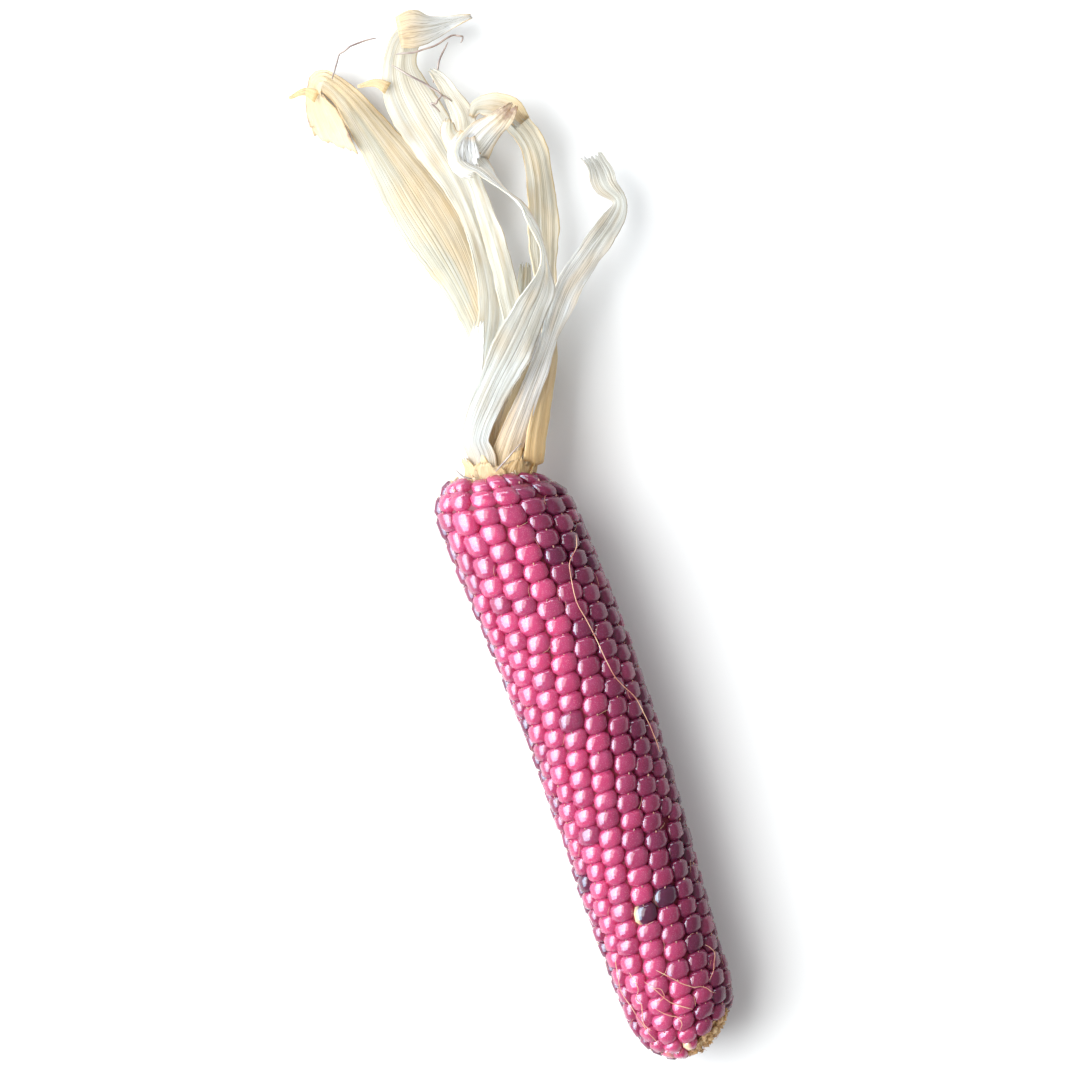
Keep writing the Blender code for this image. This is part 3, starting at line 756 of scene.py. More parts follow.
# %% The eight leaves
HUSK_LEAVES = (
    ("front", "pale", OUTER_RING, 40, 10, dict(seed=1.0, ruffle=0.8, ribs=4.0, curl=0.9, fray=1.4, brown_tip=1.25, brown_edge=0.5, scorched=0.89, warm_length=14.0, painted_shade=((0, 0.6), (0.2, 0.92), (0.38, 0.88), (0.52, 0.25), (0.62, 0), (1, 0))), (
        (93, 3, 26, 8.5, 32, 35), (102, -4.5, 28.5, 9, 20, 25), (112, -15, 30, 10.5, 5, 20),
        (119, -22, 30, 9.5, -10, 15), (126, -28.5, 28.5, 8, -35, 15), (135, -31.8, 26, 6.5, -60, 15),
        (147, -30, 22.5, 6.5, -55, 10), (160, -24.5, 19, 7, -35, 20), (165, -22, 18, 11, -15, 25),
        (168.5, -26.5, 19, 10, 0, 45), (171.5, -33, 20.5, 6, 5, 55), (174.3, -38, 21.8, 1.5, 0, 30),
    )),
    ("outer", "pale", INNER_RING, -12, 8.5, dict(seed=2.3, ruffle=0.7, ribs=3.5, curl=0.5, fray=1.4, warm_length=34.0, painted_shade=((0, 0), (0.6, 0), (0.75, 0.98), (1, 0.6))), (
        (98, -14, 26, 6, -8, 25), (108, -22.5, 25, 5, -20, 20), (122, -34, 21, 7, -15, 15),
        (130, -44, 17, 7, -5, 15), (137, -53.5, 13, 6, 15, 15), (141, -56, 11.5, 4, 35, 20),
        (146, -54, 12, 6.5, 10, 30), (151, -54, 11, 7, -20, 25), (155.5, -53.2, 9.8, 6.5, -10, 20),
    )),
    ("right", "dun", OUTER_RING, -76, 9.5, dict(seed=3.2, ruffle=0.5, ribs=4.0, curl=0.5, fray=1.4, brown_tip=0.5, brown_edge=0.6, warm_length=64.0, painted_shade=((0, 0), (0.45, 0), (0.63, 0.55), (0.75, 0.12), (1, 0.1))), (
        (94, -16.5, 18.5, 7.5, -72, 40), (104, -20.5, 17, 6.5, -68, 35), (113, -25, 16, 4.5, -60, 30),
        (124, -28.5, 15, 6, -30, 20), (139, -33.5, 13.5, 8.5, -15, 15), (152, -37.5, 12.5, 8, -20, 20),
        (163, -39, 12, 7, -10, 20), (171, -36.5, 12.5, 6.5, 15, 30), (176.5, -31, 12, 4, 20, 30),
    )),
    ("narrow", "cream", INNER_RING, -96, 8, dict(seed=4.4, ruffle=0.3, ribs=2.0, curl=0.4, fray=2.0, painted_shade=((0, 0.6), (0.5, 0.6), (0.75, 0.3), (0.85, 0), (1, 0))), (
        (103, -13, 18.5, 5.5, -55, 30), (117, -17.5, 18.5, 5.5, -15, 40), (136, -20, 16.5, 6, 5, 50),
        (154, -20.8, 14, 4.5, 10, 50), (163, -21, 13, 4.5, 5, 40), (170, -22.5, 12.5, 7, -5, 30),
        (177, -24, 12.5, 6.5, -10, 30), (183, -23, 12.5, 4.5, -5, 30), (188, -21.8, 13, 3.5, 0, 20),
        (192, -19.8, 13.5, 1.2, 0, 10),
    )),
    ("long", "cream", OUTER_RING, 117, 9, dict(seed=5.9, ruffle=0.6, ribs=3.0, curl=0.6, fray=1.5, brown_edge=0.2, painted_shade=((0, 0.6), (0.36, 0.85), (0.63, 0.5), (0.75, 0.35), (1, 0.4))), (
        (102, 0, 11, 8, 92, 25), (114, -8.5, 11, 8.5, 25, 20), (126, -14.5, 10.5, 8.5, 0, 15),
        (140, -17, 9.5, 7.5, -5, 15), (152, -17.3, 9, 7.5, 5, 15), (162, -16.5, 9.2, 9.5, 8, 20),
        (172, -14.8, 9.2, 13, 3, 20), (182, -12.8, 9.6, 14, 0, 15), (190, -11.8, 9.6, 12.5, -5, 15),
        (197, -13, 10, 9, -20, 25), (202, -17, 9.8, 8, -20, 35), (203.8, -22.5, 8.5, 7.5, 5, 20),
        (203, -29, 7.5, 4.5, 15, 10), (202, -35.5, 6.5, 1, 20, 5),
    )),
    ("left", "tan", OUTER_RING, 184, 9.5, dict(seed=6.7, ruffle=0.4, ribs=5.0, curl=0.5, fray=1.2, brown_tip=0.5, scorched=0.70, brown_edge=0.4, golden_side=0.35, slant=10.0, painted_shade=((0, 0.25), (0.6, 0.33), (1, 0.3))), (
        (105, -6.5, 7, 8, 178, -15), (119, -9, 5.8, 8.5, 178, -20), (134, -9, 5.8, 12.5, 180, -15),
        (147, -7.4, 5.8, 17, 180, -12), (159, -4.9, 5.2, 17.8, 183, -12), (171, -2.1, 5.3, 14.5, 185, -15),
        (183, 1.1, 6.6, 10.5, 184, -20), (193, 4.3, 8.8, 7.5, 180, -25), (199.6, 8.4, 8.8, 6.5, 172, -20),
        (198.4, 11.4, 5.4, 10.5, 192, 0), (189, 11.8, 3.9, 12, 214, 14), (177, 10.8, 3.5, 12.5, 216, 10),
    )),
    ("short", "pale", INNER_RING, 54, 8, dict(seed=7.6, ruffle=0.4, ribs=2.5, curl=0.5, fray=2.5, warm_length=34.0, painted_shade=((0, 0), (1, 0))), (
        (99, 2, 22.5, 6.5, 42, 30), (107, -1, 21, 6.5, 30, 25), (116, -5.5, 18.5, 5, 15, 25),
        (123, -9.5, 16.5, 2, 5, 20),
    )),
    ("under", "tan", INNER_RING, 180, 8.5, dict(seed=8.2, ruffle=0.4, ribs=3.0, curl=0.5, fray=3.0), (
        (104, -11, 12, 7.5, 190, -10), (114, -17.5, 12, 6.5, 195, -20), (125, -22.5, 11.5, 5, 190, -20),
        (134, -26.5, 10.5, 2.5, 185, -20),
    )),
)

leaves = {}
for leaf_name, finish_name, ring, clock, width, manner, stations in HUSK_LEAVES:
    leaf = husk_leaf("husk_" + leaf_name, root_stations(ring, clock, width) + list(stations), **manner)
    leaves[leaf_name] = (leaf, finish_name)
    print(leaf.name, len(leaf.data.polygons), "faces")

# %% [markdown]
# ## Torn husk stubs
# Round the foot of the shank stand the stubs of leaves that were torn off, so the leaves spring from a ruffled
# collar and no bare stalk shows. They are short leaves with their roots under the last kernels.

# %% The stubs
STUBS = (
    # clock angle, ring radius, width at the root, length, width near the tip, outward lean, seed
    (-35, 9.3, 13, 8, 6.0, 0.5, 21.0),
    (20, 9.6, 12, 6.5, 7.5, 0.8, 22.0),
    (75, 9.2, 13, 8, 6.0, 1.0, 23.0),
    (135, 9.4, 13, 8, 6.0, 1.0, 24.0),
    (-90, 9.5, 13, 9, 5.0, 0.6, 25.0),
    (-145, 9.2, 13, 8, 6.0, 1.0, 26.0),
)
stubs = []
for clock, ring, root_width, length, tip_width, lean_out, seed in STUBS:
    stations = []
    for share, wide, out_by in ((-0.15, root_width, 0.6), (0.25, root_width, 0.0), (0.6, root_width * 0.8, 0.3 * lean_out),
                                (0.85, tip_width, 0.7 * lean_out), (1.0, tip_width * 0.5, lean_out)):
        centre, direction = shank_frame(share * length * MM)
        side = Vector((-direction.y, direction.x, 0.0))
        out = side * math.sin(math.radians(clock)) + Vector((0, 0, 1)) * math.cos(math.radians(clock))
        place = (centre + out * (ring + out_by) * MM) / MM
        stations.append((*place, wide, clock, math.degrees(wide / ring)))
    stubs.append(husk_leaf("husk_stub", stations, seed, ruffle=0.3, ribs=4.0, curl=0.2, fray=2.0, painted_shade=((0, 0.4), (1, 0.4))))
stubs = join_all(stubs, "husk_stubs")

# %% [markdown]
# Old husk splits along its ribs, so shreds stand off the leaves: thorns at the folds, curls at the tips, the
# long leaf's end turned over, and sheaths between the leaves' feet. They are narrow leaves of the same kind.

# %% The shreds
SHREDS = (
    # finish, manner, stations
    ("pale", dict(seed=31.0, ruffle=0.5, ribs=2.0, curl=0.3, fray=0.8, warm_length=11.0, brown_edge=0.5, painted_shade=((0, 0.75), (0.35, 0.6), (0.6, 0.1), (1, 0))), (
        (204.2, -15.2, 12.6, 8.5, 0, 10), (203.6, -19, 13.4, 10.5, 0, 20), (202.6, -23.5, 12.8, 8, 5, 40),
        (202.3, -29, 10.5, 4, 10, 30), (202, -35.8, 8.5, 1, 10, 0),
    )),
    ("tan", dict(seed=32.0, ruffle=0.1, ribs=1.0, curl=0.1, fray=0.3, warm_length=30.0, brown_tip=0.9, scorched=0.3), (
        (196, 11.5, 7.4, 3.5, 0, 20), (198.6, 14.2, 7.0, 2.2, 0, 20), (198.4, 19.0, 6.2, 0.8, 0, 0),
    )),
    ("cream", dict(seed=33.0, ruffle=0.1, ribs=1.0, curl=0.1, fray=0.3, brown_tip=0.4, scorched=0.4), (
        (191, -7.4, 11.6, 3.5, 0, 10), (193.6, -4.8, 11.2, 2.2, 0, 10), (194.4, 0.3, 10.2, 0.8, 0, 0),
    )),
    ("cream", dict(seed=34.0, ruffle=0.5, ribs=1.5, curl=0.9, fray=0.8, warm_length=4.0, brown_edge=1.0, brown_tip=0.8), (
        (163.5, -22.5, 17.5, 6, 0, 20), (168.5, -19.8, 19.5, 6.5, 0, 50), (173, -18.6, 20.5, 5, 0, 110),
        (176.4, -20.2, 20.8, 2, 0, 120),
    )),
    ("pale", dict(seed=35.0, ruffle=0.6, ribs=2.0, curl=0.6, fray=2.4, warm_length=3.0, painted_shade=((0, 0), (1, 0))), (
        (171.5, -23.5, 20, 4, 0, 20), (167.5, -21, 20.5, 8, 0, 35), (163, -20.2, 19.2, 7.5, 0, 30),
        (160.5, -22.5, 18.4, 3, 0, 10),
    )),
    ("dun", dict(seed=36.0, ruffle=0.3, ribs=2.0, curl=0.9, fray=0.8, warm_length=14.0, brown_edge=1.0, brown_tip=0.8), (
        (169.5, -38.5, 12.6, 5, 10, 30), (174, -36.5, 13.4, 7, 10, 30), (177, -32, 13.6, 6.5, 5, 60),
        (177.8, -28, 12.8, 4.5, 0, 110), (175.6, -25.8, 12.2, 2, 0, 110),
    )),
    ("tan", dict(seed=37.0, ruffle=0.4, ribs=2.5, curl=0.4, fray=1.5, warm_length=60.0, painted_shade=((0, 0), (1, 0))), (
        (80.5, -1, 23, 8.5, 20, 60), (84, -2.5, 25.6, 8.5, 15, 50), (88.5, -5.4, 24.6, 8, 10, 45), (94.5, -9.5, 24.2, 7.5, 0, 30),
        (101, -14.5, 24.6, 5, -5, 30), (107, -19, 24, 1.5, -5, 20),
    )),
    ("tan", dict(seed=38.0, ruffle=0.4, ribs=2.5, curl=0.4, fray=1.5, warm_length=60.0, brown_edge=0.4, painted_shade=((0, 0), (1, 0))), (
        (80.5, -10, 21.5, 6, -30, 60), (84, -11.5, 24.2, 7, -35, 50), (89, -14, 23.9, 7, -40, 35), (97, -18.5, 22.5, 6, -45, 30),
        (106, -24, 20, 4.5, -40, 30), (112, -26.8, 18.5, 1.5, -40, 20),
    )),
    ("tan", dict(seed=39.0, ruffle=0.4, ribs=2.5, curl=0.5, fray=2.0, warm_length=40.0, painted_shade=((0, 0), (1, 0))), (
        (80.5, 3.5, 22.5, 9, 50, 60), (84.5, 4.8, 24.4, 8.5, 55, 50), (88.5, 4.2, 23.2, 7, 60, 40), (93, 2.2, 22, 5, 55, 30), (98, 0.4, 20.5, 1.5, 50, 20),
    )),
)
shreds = {}
for finish_name, manner, stations in SHREDS:
    shreds.setdefault(finish_name, []).append(husk_leaf("husk_shred", stations, **manner))
shreds = {finish_name: join_all(parts, "husk_shreds_" + finish_name) for finish_name, parts in shreds.items()}

# %% [markdown]
# ## Silks and stray fibres
# A few silks still cling to the ear: kinked, glassy threads a fifth of a millimetre thick, and coarser fibres
# at the tops of the leaves. Each is a curve with a round bevel, made into a mesh.

# %% Threads as curves
def thread(points, thickness, taper=0.4):
    """A round thread through points in metres, thinner at its ends."""
    data = bpy.data.curves.new("thread", "CURVE")
    data.dimensions = "3D"
    data.bevel_depth = thickness / 2
    data.bevel_resolution = 1
    data.resolution_u = 3
    data.use_fill_caps = True
    line = data.splines.new("NURBS")
    line.points.add(len(points) - 1)
    for k, (knot, point) in enumerate(zip(line.points, points)):
        knot.co = (point[0], point[1], max(point[2], 0.2 * MM), 1.0)
        knot.radius = taper if k in (0, len(points) - 1) else 1.0
    line.use_endpoint_u = True
    line.order_u = 4
    made = bpy.data.objects.new("thread", data)
    bpy.context.scene.collection.objects.link(made)
    select_only([made])
    bpy.ops.object.convert(target="MESH")
    made = bpy.context.object
    bpy.ops.object.mode_set(mode="EDIT")
    bpy.ops.mesh.select_all(action="SELECT")
    bpy.ops.mesh.remove_doubles(threshold=0.000002)
    bpy.ops.object.mode_set(mode="OBJECT")
    return made


def over_kernels(x_mm, y_mm, height):
    """A point at a height over the crowns, above a place on the ear given in mm from above."""
    s = x_mm * MM - TIP_X
    bow = BOW * smoothstep(abs(s - BOW_CENTRE) / BOW_REACH)
    radius = float(crown_radius(s))
    phi = math.asin(max(-1.0, min(1.0, (y_mm * MM - bow) / radius)))
    return on_ear(float(np.interp(s, line_s, line_u)), phi, height)


def wandering(knots, draw, between, sway):
    """The knots of a thread with a few more drawn between them, so that it wavers."""
    made = []
    for first, second in zip(knots, knots[1:]):
        first, second = np.array(first, dtype=float), np.array(second, dtype=float)
        for k in range(between + 1):
            point = first + (second - first) * k / (between + 1)
            made.append(point + np.array([draw.gauss(0, sway) for _ in point]) * (k > 0))
    return made + [np.array(knots[-1], dtype=float)]


# %% The silks on the ear
SILK_SEED = 61
draw = random.Random(SILK_SEED)
LONG_SILK = (
    (60.1, -13.4), (56.9, -12.8), (52.5, -8.9), (45.7, -7.8), (38.4, -8.3), (27.9, -9.4), (20.5, -10.2),
    (13.4, -13.6), (4.4, -14.7), (-2.7, -14.7),
)
SHORT_SILK = ((-58.5, 9.7), (-65.9, 5.2), (-70.0, 0.3))
TIP_SILKS = (
    ((-50.6, 14.7), (-54.2, 15.4), (-58.8, 16.4), (-62.1, 15.8), (-66.7, 14.7), (-72.1, 13.2), (-75.5, 11.6)),
    ((-55.2, 12.5), (-59.7, 11.4), (-62.0, 13.4), (-64.1, 12.2), (-66.6, 12.9), (-69.2, 13.8), (-71.2, 12.1)),
    ((-56.5, 5.8), (-58.3, 4.2), (-61.1, 1.7), (-64.1, -1.4), (-65.1, -3.4), (-66.8, -5.4), (-69.0, -6.9)),
    ((-55.4, -8.6), (-57.4, -9.8), (-60.0, -9.9), (-62.7, -8.6), (-64.9, -6.5)),
    ((-61.1, 7.9), (-61.4, 6.6), (-62.9, 6.0), (-64.5, 6.8), (-65.0, 8.5)),
    ((-66.0, 9.4), (-68.5, 7.2), (-70.0, 4.8), (-72.6, 4.0), (-74.0, 5.6)),
)
silks = []
for knots in (LONG_SILK, SHORT_SILK):
    line = wandering(knots, draw, 2, 0.16)
    silks.append(thread([over_kernels(x, y, (0.35 + 0.2 * draw.random()) * MM) for x, y in line], 0.24 * MM))
for knots in TIP_SILKS:
    line = wandering(knots, draw, 1, 0.25)
    silks.append(thread([over_kernels(x, y, (0.3 + 0.25 * draw.random()) * MM) for x, y in line], 0.2 * MM))

# %% [markdown]
# Short pale hairs stand in the grooves between kernels, and a tangle of them lies over the bare tip.

# %% Hairs in the grooves and at the tip
GROOVE_HAIRS, TIP_HAIRS, BUTT_HAIRS = 70, 26, 30
for _ in range(GROOVE_HAIRS):
    u, phi, radius, lean, lift, shape = places[draw.randrange(len(places))]
    ahead, behind, side, _, _ = shape
    start = draw.uniform(0.7, 2.0) * draw.choice((-1, 1))
    knots = []
    for k in range(4):
        angle = start + 0.28 * k
        reach_here = float(outline_reach(np.array([math.pi - angle]), *shape)[0]) * draw.uniform(0.92, 1.0)
        along, across = reach_here * math.cos(math.pi - angle), reach_here * math.sin(math.pi - angle)
        knots.append(on_ear(u + along, phi + lean * along + across / radius, -draw.uniform(0.2, 0.9) * MM))
    silks.append(thread(knots, 0.1 * MM))
for count, here in ((TIP_HAIRS, bare_spot), (BUTT_HAIRS, butt_spot)):
    made = 0
    while made < count:
        spot = here(draw)
        if spot is None:
            continue
        point, along, across, outward = frame_on_ear(*spot)
        heading = draw.uniform(0, TURN)
        knots = [point]
        for k in range(4):
            heading += draw.uniform(-0.8, 0.8)
            rise_by = draw.uniform(0.1, 0.9) * (1 if k < 2 else -0.3)
            point = point + (along * math.cos(heading) + across * math.sin(heading)) * 0.9 * MM + outward * rise_by * MM
            knots.append(point)
        silks.append(thread(knots, 0.1 * MM))
        made += 1
silks = join_all(silks, "silks")

# %% The coarse fibres at the tops of the leaves
FIBRES = (
    ((198.5, -12.5, 14.5), (197, -18, 15.5), (197, -24, 15), (198.4, -29, 13), (197.2, -31.4, 12.2), (195.8, -30.2, 11.6)),
    ((198.7, 6, 10.5), (204.4, 1.9, 12.5), (205, -2, 13.2), (204.7, -9.1, 13)),
    ((197, -27, 12.5), (192.5, -22.5, 13), (188, -19.5, 12.5)),
    ((196.5, -10.5, 12), (191, -15, 13.2), (185, -20, 13.5), (181.5, -22.5, 13)),
    ((184.3, -20.5, 13.8), (182, -18.4, 14.4), (183, -16.8, 14.2), (179.8, -18.5, 13.8)),
)
fibres = []
for knots in FIBRES:
    line = wandering(knots, draw, 2, 0.25)
    fibres.append(thread([point * MM for point in line], 0.55 * MM, 0.5))
STICKS = (
    ((82.6, 0.5, 31), (84.4, -3.2, 33.6), (87.2, -8.4, 33.8)),
    ((86.5, 10.4, 30.5), (84.2, 9.3, 31.2), (82.9, 7.2, 31.6)),
)
for knots in STICKS:
    fibres.append(thread([np.array(point) * MM for point in wandering(knots, draw, 1, 0.1)], 0.5 * MM, 0.6))
fibres = join_all(fibres, "husk_fibres")

# %% [markdown]
# ## Materials from nodes
# Every finish here is built from procedural textures, so it needs no picture and follows the piece. A small
# helper makes a node and sets its inputs, and keeps the finishes short enough to read.

# %% Node helpers
class Finish:
    """A material under construction, with its Principled shader at hand."""

    def __init__(self, name, roughness, **constants):
        self.material = bpy.data.materials.new(name)
        self.material.use_nodes = True
        self.tree = self.material.node_tree
        self.shader = self.tree.nodes["Principled BSDF"]
        self.shader.inputs["Roughness"].default_value = roughness
        for key, value in constants.items():
            self.shader.inputs[key.replace("_", " ")].default_value = value

    def put(self, value, socket):
        """Joins a node's output to a socket, or writes a plain number or colour there."""
        if isinstance(value, bpy.types.NodeSocket):
            self.tree.links.new(value, socket)
        elif isinstance(value, tuple) and len(value) == 3 and socket.type == "RGBA":
            socket.default_value = (*value, 1.0)
        else:
            socket.default_value = value

    def node(self, kind, **settings):
        made = self.tree.nodes.new(kind)
        for key, value in settings.items():
            setattr(made, key, value)
        return made

    def place(self, source="Object", scale=(1, 1, 1)):
        """Coordinates that follow the piece, stretched by a scale."""
        coordinates = self.node("ShaderNodeTexCoord")
        mapping = self.node("ShaderNodeMapping")
        mapping.inputs["Scale"].default_value = scale
        self.tree.links.new(coordinates.outputs[source], mapping.inputs["Vector"])
        return mapping.outputs["Vector"]

    def noise(self, where, scale, detail=3.0, rough=0.55):
        made = self.node("ShaderNodeTexNoise")
        self.put(where, made.inputs["Vector"])
        for key, value in (("Scale", scale), ("Detail", detail), ("Roughness", rough)):
            made.inputs[key].default_value = value
        return made.outputs["Fac"]

    def ramp(self, value, low, high, to_low=0.0, to_high=1.0):
        """Stretches the part of a value between low and high to a new range."""
        made = self.node("ShaderNodeMapRange")
        self.put(value, made.inputs["Value"])
        for key, number in zip(("From Min", "From Max", "To Min", "To Max"), (low, high, to_low, to_high)):
            made.inputs[key].default_value = number
        return made.outputs["Result"]

    def blend(self, share, first, second, mode="MIX"):
        made = self.node("ShaderNodeMix", data_type="RGBA", blend_type=mode)
        self.put(share, made.inputs["Factor"])
        self.put(first, made.inputs[6])
        self.put(second, made.inputs[7])
        return made.outputs[2]

    def sums(self, operation, first, second):
        made = self.node("ShaderNodeMath", operation=operation)
        self.put(first, made.inputs[0])
        self.put(second, made.inputs[1])
        return made.outputs[0]

    def painted(self, name):
        """The red, green and blue of a colour that the mesh carries."""
        layer = self.node("ShaderNodeAttribute", attribute_name=name)
        split = self.node("ShaderNodeSeparateColor")
        self.tree.links.new(layer.outputs["Color"], split.inputs["Color"])
        return split.outputs[0], split.outputs[1], split.outputs[2]

    def finish(self, colour, bump=None, strength=0.3, distance=0.0002, roughness=None):
        self.put(colour, self.shader.inputs["Base Color"])
        if roughness is not None:
            self.put(roughness, self.shader.inputs["Roughness"])
        if bump is not None:
            made = self.node("ShaderNodeBump")
            made.inputs["Strength"].default_value = strength
            made.inputs["Distance"].default_value = distance
            self.put(bump, made.inputs["Height"])
            self.put(made.outputs["Normal"], self.shader.inputs["Normal"])
        return self.material


# %% [markdown]
# ## Kernel skin
# The skin is a clear, waxy layer over red flesh. A coat gives the sharp window reflections, and the flesh under
# it varies from kernel to kernel and carries fine pale specks. Its colour also holds painted light: a lit crimson
# on the side facing the lamps and a shaded plum round the back, painted shade in the grooves on the dark side,
# a painted crimson glow in them on the lit side, and a lavender bloom that is partly a painted sheen.

# %% Kernel finish
def kernel_finish():
    skin = Finish(
        "kernel_skin",
        0.38,
        Coat_Weight=1.0,
        Coat_Roughness=0.09,
        Coat_IOR=1.5,
        Specular_IOR_Level=0.0,
        Subsurface_Weight=0.4,
        Subsurface_Scale=0.0016,
        Subsurface_Radius=(1.0, 0.16, 0.26),
    )
    tint, plum, depth = skin.painted("kernel_tint")
    slate, cream, _ = skin.painted("kernel_patch")
    where = skin.place()
    # Painted side light: the tint picks between a shaded plum and a lit crimson copy of the flesh.
    red = skin.blend(tint, (0.11, 0.010, 0.042), (0.51, 0.047, 0.148))
    red = skin.blend(skin.ramp(plum, 0.35, 1.0, 0.0, 0.6), red, skin.blend(0.6, red, (0.085, 0.010, 0.045)))
    # A broad lavender bloom, partly the skin's own waxy bloom and partly a painted sheen, in a shaded and a lit copy.
    broad = skin.ramp(skin.noise(where, 260, 2.0), 0.35, 0.7)
    bloom_and_sheen = skin.blend(tint, (0.19, 0.035, 0.10), (0.78, 0.26, 0.46))
    red = skin.blend(skin.sums("MULTIPLY", broad, 0.12), red, bloom_and_sheen)
    # Painted light in the grooves: a painted shade deep between kernels on the dark side, and a painted crimson glow,
    # as of light through the skin, on the lit side.
    groove_glow_and_shade = skin.blend(tint, (0.045, 0.002, 0.010), (0.50, 0.012, 0.055))
    red = skin.blend(skin.ramp(depth, 0.35, 0.9, 0.0, 0.75), red, groove_glow_and_shade)
    # Fine pale specks of the skin, in a shaded and a lit copy picked by the painted side light.
    specks = skin.ramp(skin.noise(where, 3600, 1.0), 0.56, 0.72, 0.0, 0.20)
    red = skin.blend(specks, red, skin.blend(tint, (0.34, 0.12, 0.20), (0.90, 0.52, 0.66)))
    red = skin.blend(slate, red, (0.040, 0.012, 0.034))
    red = skin.blend(skin.ramp(cream, 0.3, 0.7), red, (0.80, 0.56, 0.36))
    bump = skin.noise(where, 1500, 2.0)
    return skin.finish(red, bump, 0.10, 0.0001)




# %% [markdown]
# ## Cob, chaff and silk finishes
# The cob's rind is crimson between the kernels and straw-gold where it has weathered. Chaff is dry and dull,
# with every scale a little different. Silk is red-brown, streaked with paler tan.

# %% Dry finishes
def cob_finish():
    rind = Finish("cob_rind", 0.8)
    bare, stalk, rough = rind.painted("cob_tone")
    where = rind.place()
    red = rind.blend(rind.noise(where, 700), (0.10, 0.003, 0.012), (0.22, 0.007, 0.028))
    gold = rind.blend(rind.ramp(rind.noise(where, 900), 0.3, 0.7), (0.16, 0.07, 0.02), (0.62, 0.40, 0.17))
    colour = rind.blend(rind.sums("MAXIMUM", bare, stalk), red, gold)
    return rind.finish(colour, rind.noise(where, 1600, 4.0), 0.6, 0.0004)


def chaff_finish():
    dry = Finish("chaff", 0.75)
    light, butt, warm = dry.painted("chaff_tone")
    where = dry.place()
    gold = dry.blend(light, (0.64, 0.35, 0.13), (0.96, 0.72, 0.42))
    cream = dry.blend(light, (0.72, 0.50, 0.28), (0.88, 0.76, 0.56))
    colour = dry.blend(butt, gold, cream)
    colour = dry.blend(dry.ramp(warm, 0.75, 1.0, 0.0, 0.6), colour, (0.30, 0.11, 0.03))
    colour = dry.blend(dry.ramp(dry.noise(where, 1800, 2.0), 0.35, 0.7, 0.0, 0.5), colour, (0.30, 0.16, 0.06))
    return dry.finish(colour, dry.noise(where, 3000, 2.0), 0.4, 0.0002)


def silk_finish(name, dark, light):
    silk = Finish(name, 0.45, Sheen_Weight=0.2)
    where = silk.place()
    return silk.finish(silk.blend(silk.ramp(silk.noise(where, 220, 3.0), 0.35, 0.65), dark, light))


dress(kernels, kernel_finish(), "kernels", "kernels")
dress(scars, silk_finish("silk_scar", (0.34, 0.13, 0.10), (0.58, 0.32, 0.22)), "kernels")
dress(cob, cob_finish(), "cob", "cob")
dress(chaff, chaff_finish(), "cob")
dress(silks, silk_finish("silk", (0.50, 0.16, 0.10), (0.80, 0.50, 0.30)), "kernels")
dress(fibres, silk_finish("fibre", (0.20, 0.13, 0.11), (0.44, 0.33, 0.27)), "husk_tan")

# %% [markdown]
# ## Husk finishes
# A leaf has a fine, dense venation that runs from root to tip, so the pattern follows the leaf's own UV map and
# is stretched along it. Roots are warmer, some tips are brown, and bleached leaves are almost white. A painted
# shade darkens given stretches of each leaf.

